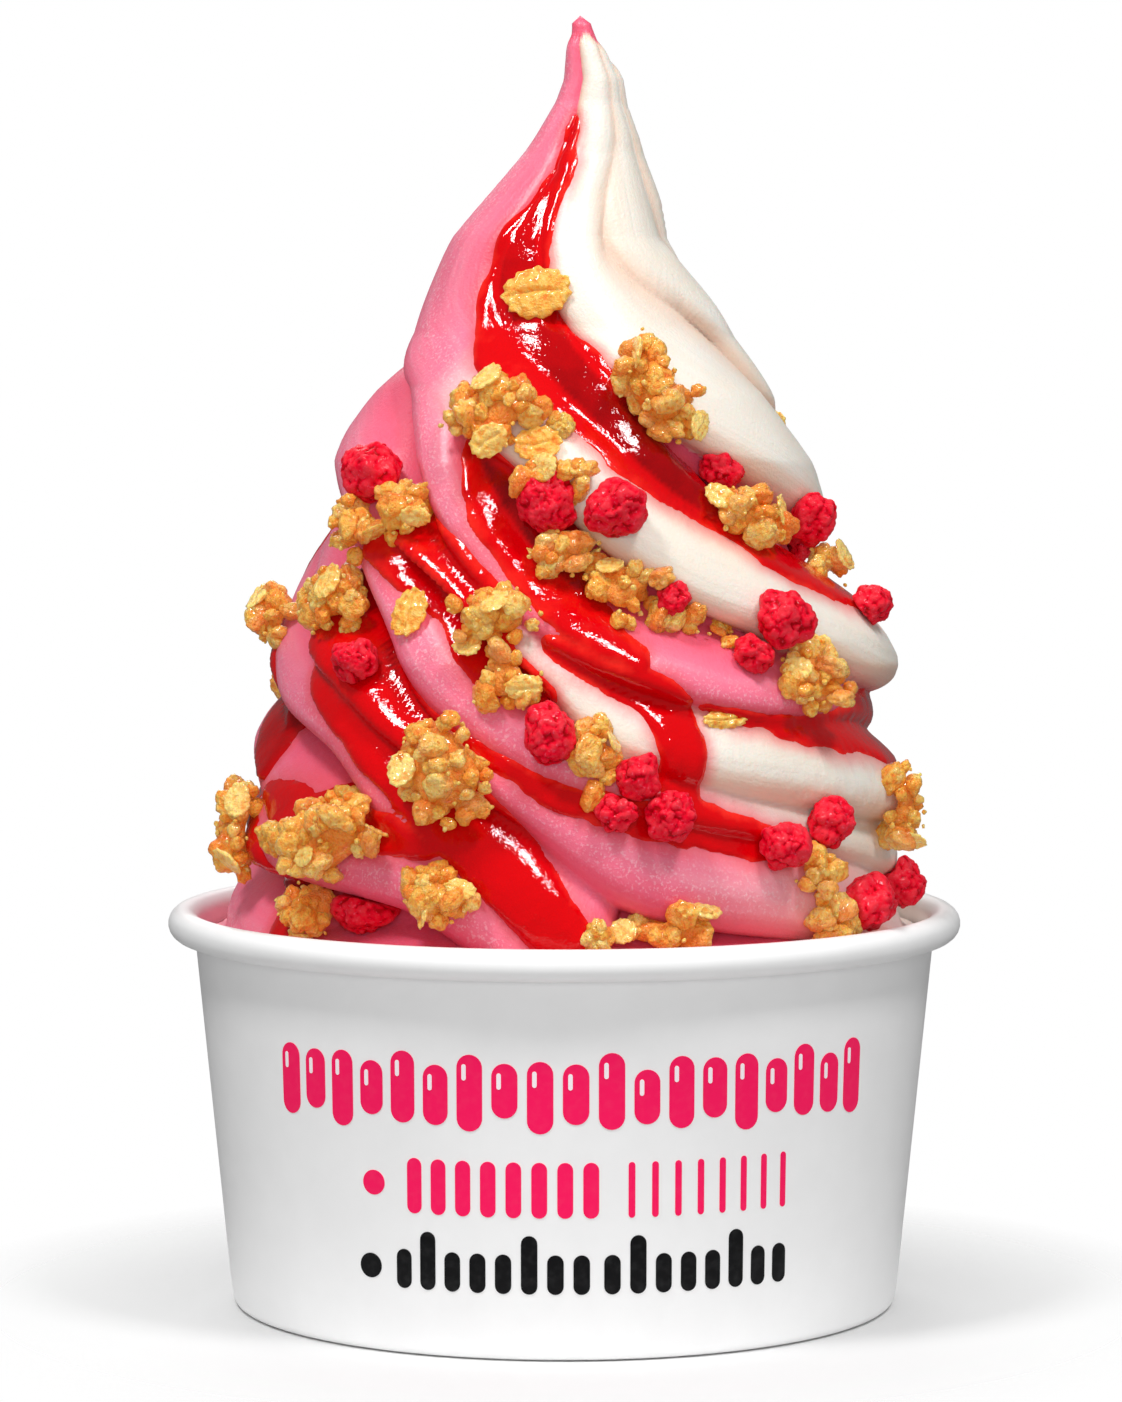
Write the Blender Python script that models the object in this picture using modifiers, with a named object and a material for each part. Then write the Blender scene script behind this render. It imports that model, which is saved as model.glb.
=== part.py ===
"""Frozen yogurt cup: a rolled-rim paper tub with a tall two-flavour soft-serve swirl,
berry sauce running in its folds, freeze-dried berries and granola clusters.

Metres, +Z up. The origin is on the table under the middle of the tub's foot.
The front, which the photograph shows, looks towards -Y.
"""

import math

import bmesh
import bpy
import numpy as np
from mathutils import Matrix, Vector, noise
from mathutils.bvhtree import BVHTree

MM = 0.001
GAP = 0.3                       # clearance between pieces that touch, mm
CUTTER_GAP = 0.35               # a little more, as a coarse skin moves in where it bends
SHORTEST_EDGE = 0.05
NEEDLE = 0.02
OBJECT_NAME = "frozen_yogurt_cup"

# Driving sizes of the tub, mm
RIM_OUTER_D = 112.0
RIM_ROLL_D = 4.4
RIM_ARC_STEPS = 6
FOOT_D = 93.9
TUB_H = 56.1
TUB_UNDER_RIM_D = 104.2
WALL_T = 0.7
FOOT_RECESS = 6.0
FOOT_RING_T = 2.4
FOOT_ROUND = 1.2
TUB_SEGMENTS = 60

# Driving sizes of the swirl, mm
TOTAL_H = 181.0
FLOOR_Z = FOOT_RECESS + WALL_T + GAP
FILL_EDGE_Z = 50.0              # where the filling meets the tub's wall
FILL_SHOULDER_Z = 58.0          # where it turns into the swirl
FILL_RINGS = 6                  # steps in the filling's wall, under its edge
RIM_CLEARANCE = 0.8             # between the lowest folds and the rim, mm
RIM_CLEAR_TO_Z = 60.0
DROOP = math.radians(24.0)      # how far the folds sag below straight out
FOLD_DEPTH_MAX = 9.5
FOLD_DEPTH_SHARE = 0.33
FOLD_OVERLAP = 1.16             # folds press into each other by this much
FOLD_BLEND = 10.0               # the higher, the sharper the valleys
FOLD_SAMPLES = 260
SWIRL_STEPS = 220
SWIRL_RING_SPACING = 0.8
FOLD_FADE = 3.0                 # height over which the folds die out at the filling's edge
SWIRL_TRIANGLES = 4080

# Outline of the swirl over its fold crests: (height, radius), mm
CREST_OUTLINE = (
    (181.0, 0.0), (179.6, 1.9), (176.0, 3.0), (169.0, 4.6), (162.0, 7.8), (148.0, 15.8), (137.0, 21.6),
    (128.0, 28.4), (119.0, 33.4), (105.0, 38.0), (92.0, 42.6), (72.0, 45.6), (53.0, 47.9), (44.0, 48.9),
)
# Sideways lean of the swirl's middle: (height, x), mm
LEAN = (
    (181.0, 2.2), (172.0, 3.7), (164.0, 2.6), (150.0, -0.4), (137.0, 0.2), (95.0, 1.8), (70.0, 0.6), (53.0, 0.0),
)

# Each fold runs down from the tip through these stations: azimuth in degrees (270 faces front,
# counted on past a turn), height, half-width and how far it stands proud of the outline, mm
FOLDS = {
    "front_left": ((212, 176, 1.6, 0), (208, 169, 3.2, 0), (204, 162, 5.2, 0.1), (199, 148, 9.2, 1.3),
                   (206, 140, 8.8, 1.2), (232, 131, 6.8, 0), (260, 122, 6.0, 0), (296, 105, 6.5, 0),
                   (318, 99.5, 6.8, 0.8), (342, 94.5, 7.2, 3.4), (380, 90, 6.8, 2.0), (450, 84, 6.5, 0),
                   (535, 80, 5.5, 0.4), (560, 73, 5.0, -1.0), (590, 66, 5.0, 0)),
    "front_right": ((285, 176, 1.6, 0), (289, 165, 3.1, 0.4), (277, 155, 4.2, 0), (277, 147, 4.8, 0),
                    (290, 138, 6.8, 0), (315, 129, 10.0, 0), (338, 122.5, 10.2, 0.6), (362, 116.5, 9.0, 0.6),
                    (420, 108.5, 6.5, 0), (525, 103, 6.0, 0), (558, 89, 5.6, 0), (582, 83, 5.6, 0),
                    (601, 72, 6.0, 0), (631, 57, 6.5, 0)),
    "right_outer": ((337, 175, 1.6, 0), (337, 165, 2.9, 0.4), (328, 156, 6.0, 0), (325, 149, 7.6, 0),
                    (340, 144, 6.2, 1.0), (357, 139, 5.8, 2.4), (372, 131, 6.8, 2.2), (400, 123, 6.0, 0.5),
                    (450, 117, 5.5, 0), (500, 112, 5.0, -2.0), (540, 105, 4.5, -3.0), (575, 93, 3.6, 0),
                    (605, 80, 2.8, 0), (622, 75, 5.0, 0), (645, 65, 7.7, 0.8), (675, 60, 7.3, 0.5),
                    (740, 50, 6.0, 0)),
    "right_back": ((363, 173, 1.5, 0.8), (364, 157, 3.6, 1.8), (366, 149, 4.4, 0.2), (420, 138, 5.5, 0),
                   (515, 126, 5.5, -1.5), (545, 122, 6.8, 0.2), (566, 116, 6.2, 0.2), (588, 102, 4.8, 0),
                   (606, 89, 5.9, 0), (628, 79, 5.0, 0), (668, 70, 3.5, -0.5), (720, 63, 5.5, 0),
                   (780, 57, 6.0, 0)),
    "back": ((60, 173, 2.0, 0), (58, 152, 4.0, 0), (110, 138, 5.0, 0), (160, 130, 4.5, -4.0),
             (200, 117, 3.0, -4.0), (235, 107, 2.2, 0), (262, 93, 2.8, 0), (280, 83, 5.4, 0),
             (309, 78, 6.3, 0.8), (342, 74.5, 6.3, 3.4), (380, 70, 6.3, 2.0), (500, 60, 5.8, 0),
             (575, 53, 5.5, 0)),
    "left_back": ((140, 172, 2.0, 0), (142, 152, 4.5, 0), (170, 141, 4.5, -4.0), (208, 134, 4.2, -3.0),
                  (228, 125.5, 4.8, 0), (241, 113.5, 4.6, 0), (267, 97, 4.3, 0), (302, 88, 4.4, 0),
                  (345, 84.5, 4.6, -3.0), (420, 78, 5.5, 0), (510, 72, 6.0, -1.0), (540, 69, 5.5, -2.2), (566, 67, 5.8, 0.8),
                  (600, 64, 6.3, 0), (624, 54, 6.0, 0)),
}

# The sauce runs down between the folds through these stations: azimuth, height and half-width
SAUCE_T = 0.9
SAUCE_EDGE = 1.6
SAUCE_FILL = 0.55               # share of a fold's depth that sauce fills up to
SAUCE_SAMPLES = 90
SAUCE_RUNS = {
    "top": ((254, 166, 0.6), (258, 159, 1.8), (253, 154, 2.3), (248, 148, 4.2), (246, 141, 4.9),
            (253, 134, 5.3), (272, 129, 4.9), (285, 121, 4.2), (295, 116, 3.7), (307, 111, 2.8),
            (322, 105, 2.5), (348, 100, 2.0)),
    "upper_left": ((245, 121, 1.8), (251, 115, 3.8), (259, 109, 4.6), (266, 103, 4.2), (273, 97, 2.8),
                   (281, 93, 1.7)),
    "middle_left": ((223, 108, 2.5), (237, 106, 5.1), (248, 100, 5.3), (254, 93, 3.9), (264, 88, 2.3)),
    "middle": ((265, 95, 1.7), (276, 91, 2.8), (286, 87, 3.5), (289.5, 80, 3.2), (289.5, 74, 3.1),
               (297, 70, 3.0), (315, 67, 1.7)),
    "right_valley": ((295, 86, 1.1), (308, 84, 1.4), (327, 82, 2.2), (344, 82, 4.0), (360, 81, 4.4), (400, 77, 2.4)),
    "big_left": ((213, 102, 2.0), (214, 94, 4.5), (229, 86, 5.6), (244, 78, 6.0), (251, 72, 5.4),
                 (260, 65, 4.4), (269, 57, 4.2)),
    "low_middle": ((251, 81, 1.6), (260, 78.5, 1.5), (269, 75, 1.9), (280, 73, 2.3), (290, 71, 2.8)),
    "low_left": ((206, 74, 2.0), (220, 71, 2.8), (237, 70, 2.8), (246, 68, 1.7)),
    "left_drip": ((150, 95, 4.0), (170, 90, 5.6), (184, 83, 6.6), (192, 77, 5.0), (200, 73, 2.6)),
    "foot_left": ((170, 70, 2.0), (192, 64, 1.6), (208, 60, 2.3), (220, 55, 3.1)),
    "back_high": ((20, 150, 1.5), (40, 138, 3.0), (75, 128, 4.0), (95, 118, 4.0), (120, 112, 2.5)),
    "back_middle": ((60, 102, 2.5), (85, 98, 4.5), (105, 90, 4.5), (115, 80, 3.5), (135, 74, 2.0)),
    "back_low": ((20, 84, 2.0), (45, 77, 3.5), (60, 69, 3.5), (75, 61, 3.0)),
    "back_left": ((120, 128, 2.0), (145, 118, 3.0), (160, 110, 4.0), (165, 102, 3.0)),
}

# Toppings: azimuth, height, width, tallness and tilt in degrees. A berry is as thick as it is wide.
BERRY_SINK = 0.30               # share of the thickness between its middle and the surface
BERRY_SEED = 11
BERRY_TRIANGLES = 60
BERRY_NOISE = (0.3, 3.0)        # how far the skin moves, as a share, and how finely
BERRIES = (
    (218, 117, 8.7, 8.2, 10), (265.5, 113.4, 8.8, 8.2, 6), (281, 113, 8.7, 7.9, 20), (317, 118, 7.6, 6.8, -20),
    (345, 112, 6.8, 8.2, 0), (2, 108, 6.2, 7.6, 30), (342, 99, 6.4, 5.6, 0), (293, 102, 4.8, 4.4, 0),
    (313, 98, 7.9, 8.2, 15), (307, 93, 5.6, 5.6, 0), (227, 92, 6.2, 6.5, 0), (267, 83, 7.0, 8.9, 10),
    (282, 77.5, 6.4, 6.2, 0), (278.5, 73.8, 6.0, 5.6, 0), (287, 73.2, 6.8, 7.2, 0), (308, 69, 7.0, 7.3, 0),
    (319, 70, 6.8, 7.3, 0), (325.5, 59, 7.9, 8.2, 0), (353, 59, 7.0, 8.4, 0), (231, 59.8, 11.5, 8.6, 8),
    (55, 109, 8.2, 7.8, 0), (96, 89, 8.6, 7.6, 20), (128, 70, 7.8, 8.0, 0), (24, 68, 8.4, 7.8, 0),
)
# A granola cluster is this share of its smaller side thick; an oat flake is thin.
CLUSTER_T_SHARE = 0.8
CLUSTER_SINK = 0.26
CLUSTER_SEED = 23
CLUSTER_TRIANGLES = 68
CLUSTER_NOISE = (0.5, 3.2)
CLUSTERS = (
    (296, 128.5, 9.0, 13.4, 28), (252.5, 125.4, 14.2, 10.0, 12), (268, 117, 9.0, 5.8, 0), (231, 112, 9.0, 8.4, 0),
    (219, 110, 7.6, 8.4, 0), (269, 107, 7.0, 6.5, 0), (282.5, 102, 13.0, 12.4, 30), (317, 111, 11.3, 8.7, -20),
    (349, 103.5, 6.6, 6.2, 0), (293, 98, 8.6, 6.5, 0), (304, 96.5, 5.3, 9.6, -10), (319.5, 89.5, 11.3, 9.6, -10),
    (257, 98.6, 12.0, 7.6, 10), (260, 90.2, 8.8, 8.8, 0), (186, 96.6, 8.0, 8.4, 0), (214, 99.6, 12.2, 9.8, 0),
    (250, 78.4, 11.8, 14.0, 15), (275, 81, 7.0, 10.0, 10), (315, 63.5, 7.3, 7.6, 0), (318, 57.5, 8.6, 5.8, 10),
    (287, 58.5, 14.0, 7.0, 12), (250, 62, 9.0, 8.6, 0), (220, 58, 9.4, 8.2, 0), (228.5, 68.6, 15.0, 11.0, 25),
    (197, 68.4, 7.4, 12.4, 15), (339, 72, 6.0, 11.0, 0),
    (40, 121, 11.4, 8.8, -20), (72, 99, 13.6, 9.6, 15), (112, 105, 10.8, 9.0, -10), (84, 76, 12.6, 9.8, 0),
    (148, 84, 11.6, 9.0, 20),
)
OAT_T = 1.9
OAT_TRIANGLES = 64
OAT_NOISE = (0.15, 2.0)
OAT_SINK = 0.32
OATS = ((258, 142, 9.4, 6.4, 12), (264, 121.5, 6.6, 6.2, -40), (238, 99, 6.2, 7.0, -15))


def smooth_curve(knots, count):
    """Points along a smooth curve through rows of numbers, without overshoot between them."""
    knots = np.asarray(knots, float)
    steps = np.linalg.norm(np.diff(knots[:, :2] * (0.5, 1.0), axis=0), axis=1)
    along = np.concatenate([[0.0], np.cumsum(steps)])
    slope = np.diff(knots, axis=0) / steps[:, None]
    tangent = np.empty_like(knots)
    tangent[0] = slope[0]
    tangent[-1] = slope[-1]
    before = slope[:-1]
    after = slope[1:]
    same_way = before * after > 0
    total = np.where(same_way, before + after, 1.0)
    tangent[1:-1] = np.where(same_way, 2 * before * after / total, 0.0)
    at = np.linspace(0, along[-1], count)
    i = np.clip(np.searchsorted(along, at, side="right") - 1, 0, len(steps) - 1)
    u = ((at - along[i]) / steps[i])[:, None]
    step = steps[i][:, None]
    return (
        knots[i] * (2 * u**3 - 3 * u**2 + 1) + tangent[i] * step * (u**3 - 2 * u**2 + u)
        + knots[i + 1] * (3 * u**2 - 2 * u**3) + tangent[i + 1] * step * (u**3 - u**2)
    )


def read_table(table, z):
    """Linear reading of a (height, value) table that runs downwards."""
    heights, values = np.array(table[::-1], float).T
    return np.interp(z, heights, values)


def smoothstep(low, high, x):
    t = np.clip((x - low) / (high - low), 0.0, 1.0)
    return t * t * (3 - 2 * t)


def fold_depth(z):
    depth = np.minimum(FOLD_DEPTH_MAX, FOLD_DEPTH_SHARE * read_table(CREST_OUTLINE, z))
    return depth * smoothstep(FILL_EDGE_Z, FILL_SHOULDER_Z, z)


def tub_outer_radius(z):
    return (FOOT_D + (TUB_UNDER_RIM_D - FOOT_D) * z / (TUB_H - RIM_ROLL_D)) / 2


def core_radius(z):
    """Radius at the bottom of the folds; below the shoulder the filling widens to the tub's wall."""
    crest_z = z - fold_depth(z) * math.sin(DROOP)
    swirl = read_table(CREST_OUTLINE, crest_z) - fold_depth(z) * math.cos(DROOP)
    filling = tub_outer_radius(z) - WALL_T - GAP
    share = smoothstep(FILL_EDGE_Z, FILL_SHOULDER_Z, z)
    return filling + (swirl - filling) * share


def near_path(azimuth, height, knots, samples):
    """For each place, how far off a path it lies as a share of the path's half-width there,
    and the other values that the nearest point of the path has."""
    path = smooth_curve(knots, samples)
    mm_per_degree = math.radians(1) * read_table(CREST_OUTLINE, height)
    least = np.full(azimuth.shape, np.inf)
    values = np.zeros((path.shape[1] - 2, azimuth.size))
    for row in path:
        across = mm_per_degree * ((azimuth - row[0] + 180.0) % 360.0 - 180.0)
        up = height - row[1] - fold_depth(row[1]) * math.sin(DROOP)
        share = np.hypot(across, up) / row[2]
        nearer = share < least
        least[nearer] = share[nearer]
        values[:, nearer] = row[2:, None]
    return least, values


def fold_relief(azimuth, height):
    """Depth of the folds over the core, mm: rounded ridges that meet in narrow valleys."""
    total = np.zeros(azimuth.shape)
    depth = fold_depth(height)
    for knots in FOLDS.values():
        share, (_, proud) = near_path(azimuth, height, knots, FOLD_SAMPLES)
        ridge = np.sqrt(1 - np.minimum(share / FOLD_OVERLAP, 1.0) ** 2)
        total += (ridge * (depth + proud)) ** FOLD_BLEND
    return total ** (1 / FOLD_BLEND)


def sauce_relief(azimuth, height, relief):
    """Depth with the sauce on: a skin with rounded edges that also levels the valleys."""
    inside = np.full(azimuth.shape, -np.inf)
    for knots in SAUCE_RUNS.values():
        share, (half_width,) = near_path(azimuth, height, knots, SAUCE_SAMPLES)
        inside = np.maximum(inside, (1 - share) * half_width)
    edge = np.clip(inside / SAUCE_EDGE, 0.0, 1.0)
    skin = np.sqrt(1 - (1 - edge) ** 2)
    level = np.maximum(relief, SAUCE_FILL * fold_depth(height) * skin)
    return level + SAUCE_T * skin


def new_collection(name):
    collection = bpy.data.collections.new(name)
    bpy.context.scene.collection.children.link(collection)
    return collection


def make_material(name, colour, roughness):
    material = bpy.data.materials.new(name)
    material.use_nodes = True
    shader = material.node_tree.nodes["Principled BSDF"]
    shader.inputs["Base Color"].default_value = (*colour, 1.0)
    shader.inputs["Roughness"].default_value = roughness
    shader.inputs["Metallic"].default_value = 0.0
    return material


def new_object(name, mesh, collection, material=None):
    obj = bpy.data.objects.new(name, mesh)
    if material:
        mesh.materials.append(material)
    collection.objects.link(obj)
    return obj


def evaluated_mesh(obj):
    """The object's mesh as its modifiers leave it, which then takes their place."""
    graph = bpy.context.evaluated_depsgraph_get()
    graph.update()
    mesh = bpy.data.meshes.new_from_object(obj.evaluated_get(graph))
    obj.modifiers.clear()
    obj.data = mesh
    return mesh


def turned(name, profile, steps, collection, material):
    """A lathe shape from an (r, z) profile in mm that runs down its outer side."""
    mesh = bpy.data.meshes.new(name)
    points = [(r * MM, 0.0, z * MM) for r, z in profile]
    mesh.from_pydata(points, [(i, i + 1) for i in range(len(points) - 1)], [])
    obj = new_object(name, mesh, collection, material)
    screw = obj.modifiers.new("turn", "SCREW")
    screw.axis = "Z"
    screw.steps = steps
    screw.render_steps = steps
    screw.use_merge_vertices = True
    screw.merge_threshold = 0.00001
    evaluated_mesh(obj)
    return obj


def arc(centre_r, centre_z, radius, start, end, steps):
    """Points on an arc, from one angle to another in degrees."""
    points = []
    for i in range(steps + 1):
        angle = math.radians(start + (end - start) * i / steps)
        points.append((centre_r + radius * math.cos(angle), centre_z + radius * math.sin(angle)))
    return points


def make_tub(collection):
    """Paper tub: floor, tapered wall, rolled rim and a foot ring round the recessed floor."""
    material = make_material("tub_paper", (0.90, 0.90, 0.90), 0.45)
    roll = RIM_ROLL_D / 2
    rim_r = RIM_OUTER_D / 2 - roll
    rim_z = TUB_H - roll
    floor_top = FOOT_RECESS + WALL_T
    foot_r = FOOT_D / 2
    profile = [(0.0, floor_top), (tub_outer_radius(floor_top) - WALL_T, floor_top)]
    profile.append((rim_r - roll, rim_z - roll))
    profile += arc(rim_r, rim_z, roll, 180, -110, RIM_ARC_STEPS)
    profile.append((tub_outer_radius(rim_z - 2 * roll), rim_z - 2 * roll))
    profile += arc(foot_r - FOOT_ROUND, FOOT_ROUND, FOOT_ROUND, 0, -90, 2)
    profile += [(foot_r - FOOT_RING_T, 0.0), (foot_r - FOOT_RING_T, FOOT_RECESS), (0.0, FOOT_RECESS)]
    tub = turned("paper_cup", profile, TUB_SEGMENTS, collection, material)
    tub.data.shade_smooth()
    tub.data.set_sharp_from_angle(angle=math.radians(40))
    return tub


def swirl_profile():
    """The swirl's core from the tip down to the filling's underside on the tub's floor."""
    rings = int((TOTAL_H - FILL_EDGE_Z) / SWIRL_RING_SPACING)
    heights = np.linspace(TOTAL_H, FILL_EDGE_Z, rings + 1)
    profile = [(float(core_radius(z)), float(z)) for z in heights]
    profile[0] = (0.0, TOTAL_H)
    for i in range(1, FILL_RINGS + 1):
        z = FILL_EDGE_Z + (FLOOR_Z - FILL_EDGE_Z) * i / FILL_RINGS
        profile.append((float(core_radius(z)), z))
    profile += [(profile[-1][0] / 2, FLOOR_Z), (0.0, FLOOR_Z)]
    return profile


def make_swirl(collection):
    """Soft-serve swirl and its filling, one solid with the sauce on it."""
    material = make_material("frozen_yogurt", (0.85, 0.35, 0.45), 0.55)
    swirl = turned("yogurt_swirl", swirl_profile(), SWIRL_STEPS, collection, material)
    mesh = swirl.data
    points = np.empty(len(mesh.vertices) * 3)
    mesh.vertices.foreach_get("co", points)
    points = points.reshape(-1, 3) / MM
    radius = np.hypot(points[:, 0], points[:, 1])
    height = points[:, 2].copy()
    azimuth = np.degrees(np.arctan2(points[:, 1], points[:, 0])) % 360.0
    folded = (height > FILL_EDGE_Z) & (radius > 0.0)
    out = np.zeros(len(points))
    relief = fold_relief(azimuth[folded], height[folded])
    out[folded] = sauce_relief(azimuth[folded], height[folded], relief)
    out *= smoothstep(FILL_EDGE_Z, FILL_EDGE_Z + FOLD_FADE, height)
    limit = np.where(height < RIM_CLEAR_TO_Z, RIM_OUTER_D / 2 - RIM_ROLL_D - RIM_CLEARANCE, np.inf)
    radius = np.where(folded, np.minimum(radius + out * math.cos(DROOP), limit), radius)
    height -= out * math.sin(DROOP)
    turn = np.radians(azimuth)
    points[:, 0] = radius * np.cos(turn) + read_table(LEAN, height)
    points[:, 1] = radius * np.sin(turn)
    points[:, 2] = height
    mesh.vertices.foreach_set("co", (points * MM).ravel())
    mesh.update()
    decimate = swirl.modifiers.new("coarser", "DECIMATE")
    decimate.ratio = SWIRL_TRIANGLES / (2 * len(mesh.polygons))
    decimate.use_collapse_triangulate = True
    evaluated_mesh(swirl)
    swirl.data.shade_smooth()
    return swirl


def surface_tree(obj):
    mesh = obj.data
    return BVHTree.FromPolygons([v.co for v in mesh.vertices], [tuple(p.vertices) for p in mesh.polygons])


def placed_on(tree, azimuth, height, tilt, lift):
    """A frame on the swirl: Z out of the surface, X along it, turned by the tilt, its origin lifted off."""
    turn = math.radians(azimuth)
    outward = Vector((math.cos(turn), math.sin(turn), 0.0))
    start = outward * RIM_OUTER_D * MM + Vector((0.0, 0.0, height * MM))
    spot, normal, _, _ = tree.ray_cast(start, -outward)
    if spot is None:
        raise RuntimeError(f"no surface at azimuth {azimuth}, height {height}")
    out = (normal + outward).normalized()
    along = Vector((0.0, 0.0, 1.0)).cross(out).normalized()
    frame = Matrix((along, out.cross(along), out)).transposed().to_4x4()
    frame = frame @ Matrix.Rotation(math.radians(tilt), 4, "Z")
    frame.translation = spot + out * lift
    return frame


def make_lump(name, size, triangles, skin_noise, seed, collection, material):
    """A closed lump of the size given in mm, its skin moved in and out by smooth noise."""
    roughness, coarseness = skin_noise
    bm = bmesh.new()
    bmesh.ops.create_icosphere(bm, subdivisions=3, radius=0.5)
    offset = Vector((seed * 3.7, seed * 1.3, seed * 5.1))
    for vert in bm.verts:
        vert.co *= 1.0 + roughness * noise.noise(vert.co * coarseness + offset)
        vert.co = Vector([c * s * MM for c, s in zip(vert.co, size)])
    mesh = bpy.data.meshes.new(name)
    bm.to_mesh(mesh)
    bm.free()
    lump = new_object(name, mesh, collection, material)
    coarser = lump.modifiers.new("coarser", "DECIMATE")
    coarser.ratio = triangles / len(mesh.polygons)
    evaluated_mesh(lump)
    return lump


def grown_copy(obj, name, collection):
    """A cutter: the object's mesh with its skin moved out by a little over the gap."""
    mesh = obj.data.copy()
    normals = [v.normal.copy() for v in mesh.vertices]
    for vert, normal in zip(mesh.vertices, normals):
        vert.co += normal * (CUTTER_GAP * MM)
    cutter = new_object(name, mesh, collection)
    cutter.hide_render = True
    cutter.display_type = "WIRE"
    return cutter


def reach(obj):
    """Middle and radius of a ball round the object."""
    points = [v.co for v in obj.data.vertices]
    middle = sum(points, Vector()) / len(points)
    return middle, max((p - middle).length for p in points)


def keep_largest(mesh):
    """Keeps only the largest body of a mesh, without needle-thin edges."""
    bm = bmesh.new()
    bm.from_mesh(mesh)
    bmesh.ops.remove_doubles(bm, verts=bm.verts, dist=SHORTEST_EDGE * MM)
    bmesh.ops.dissolve_degenerate(bm, edges=bm.edges, dist=NEEDLE * MM)
    bmesh.ops.triangulate(bm, faces=bm.faces)
    left = set(bm.verts)
    bodies = []
    while left:
        body = set()
        front = [left.pop()]
        while front:
            vert = front.pop()
            body.add(vert)
            for edge in vert.link_edges:
                other = edge.other_vert(vert)
                if other in left:
                    left.remove(other)
                    front.append(other)
        bodies.append(body)
    bodies.sort(key=len)
    for body in bodies[:-1]:
        bmesh.ops.delete(bm, geom=list(body), context="VERTS")
    bm.to_mesh(mesh)
    bm.free()


def fit_between(obj, cutters, solver="EXACT"):
    """Cuts away what would run into the cutters near the object."""
    middle, radius = reach(obj)
    whole = obj.data.copy()
    for cutter, cutter_middle, cutter_radius in cutters:
        if (middle - cutter_middle).length < radius + cutter_radius:
            cut = obj.modifiers.new("fit", "BOOLEAN")
            cut.operation = "DIFFERENCE"
            cut.solver = solver
            cut.object = cutter
    evaluated_mesh(obj)
    keep_largest(obj.data)
    if not obj.data.polygons and solver == "EXACT":
        obj.data = whole
        fit_between(obj, cutters, "MANIFOLD")


def make_toppings(collection, cutter_collection, swirl, tub):
    """Berries, granola clusters and oat flakes, each fitted to what it lies on and against."""
    tree = surface_tree(swirl)
    berry_skin = make_material("freeze_dried_berry", (0.55, 0.02, 0.10), 0.6)
    toasted = make_material("toasted_granola", (0.72, 0.40, 0.14), 0.5)
    flake = make_material("oat_flake", (0.82, 0.56, 0.24), 0.5)
    cutters = []
    for obj, name in ((swirl, "swirl_clearance"), (tub, "cup_clearance")):
        cutters.append((grown_copy(obj, name, cutter_collection), *reach(obj)))

    def settle(obj, azimuth, height, tilt, lift):
        obj.data.transform(placed_on(tree, azimuth, height, tilt, lift * MM))
        obj.data.update()
        fit_between(obj, cutters)
        cutters.append((grown_copy(obj, obj.name + "_clearance", cutter_collection), *reach(obj)))

    for i, (azimuth, height, width, tall, tilt) in enumerate(OATS, 1):
        oat = make_lump(f"oat_flake_{i}", (width, tall, OAT_T), OAT_TRIANGLES, OAT_NOISE, i, collection, flake)
        settle(oat, azimuth, height, tilt, OAT_T * OAT_SINK)
    for i, (azimuth, height, width, tall, tilt) in enumerate(BERRIES, 1):
        thick = 0.5 * (width + tall)
        berry = make_lump(f"berry_{i:02d}", (width, tall, thick), BERRY_TRIANGLES, BERRY_NOISE,
                          BERRY_SEED + i, collection, berry_skin)
        settle(berry, azimuth, height, tilt, thick * BERRY_SINK)
    for i, (azimuth, height, width, tall, tilt) in enumerate(CLUSTERS, 1):
        thick = CLUSTER_T_SHARE * min(width, tall)
        cluster = make_lump(f"granola_{i:02d}", (width, tall, thick), CLUSTER_TRIANGLES, CLUSTER_NOISE,
                            CLUSTER_SEED + i, collection, toasted)
        settle(cluster, azimuth, height, tilt, thick * CLUSTER_SINK)


def main():
    for obj in list(bpy.data.objects):
        bpy.data.objects.remove(obj)
    model = new_collection(OBJECT_NAME)
    clearances = new_collection("clearances")
    tub = make_tub(model)
    swirl = make_swirl(model)
    make_toppings(model, clearances, swirl, tub)


main()
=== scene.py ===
"""Frozen yogurt cup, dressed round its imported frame.

A white paper tub holds a tall soft-serve swirl of two flavours, with berry sauce running down its
folds, freeze-dried berries, granola clusters and oat flakes. Each piece is one operator, and the
sizes and colours that someone may want to change are in the property groups.

Metres, +Z up. The front looks towards -Y. Lengths in the tables are in millimetres.
"""

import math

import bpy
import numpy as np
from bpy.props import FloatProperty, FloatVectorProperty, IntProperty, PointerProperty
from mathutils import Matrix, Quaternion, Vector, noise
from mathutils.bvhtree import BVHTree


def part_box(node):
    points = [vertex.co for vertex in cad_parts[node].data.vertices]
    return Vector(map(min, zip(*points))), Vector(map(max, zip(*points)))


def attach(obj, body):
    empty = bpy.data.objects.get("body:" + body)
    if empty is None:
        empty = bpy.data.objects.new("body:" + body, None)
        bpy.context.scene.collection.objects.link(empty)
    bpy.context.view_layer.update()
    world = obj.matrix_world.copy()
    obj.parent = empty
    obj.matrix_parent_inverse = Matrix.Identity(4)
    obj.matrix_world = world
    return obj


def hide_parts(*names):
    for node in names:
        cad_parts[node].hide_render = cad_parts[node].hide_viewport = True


bl_info = {
    "name": "Frozen Yogurt Cup",
    "version": (1, 0, 0),
    "blender": (4, 5, 0),
    "location": "3D View > Sidebar > Yogurt Cup",
    "description": "Dresses a paper tub of swirled frozen yogurt with sauce, berries and granola",
    "category": "Add Mesh",
}

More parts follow.
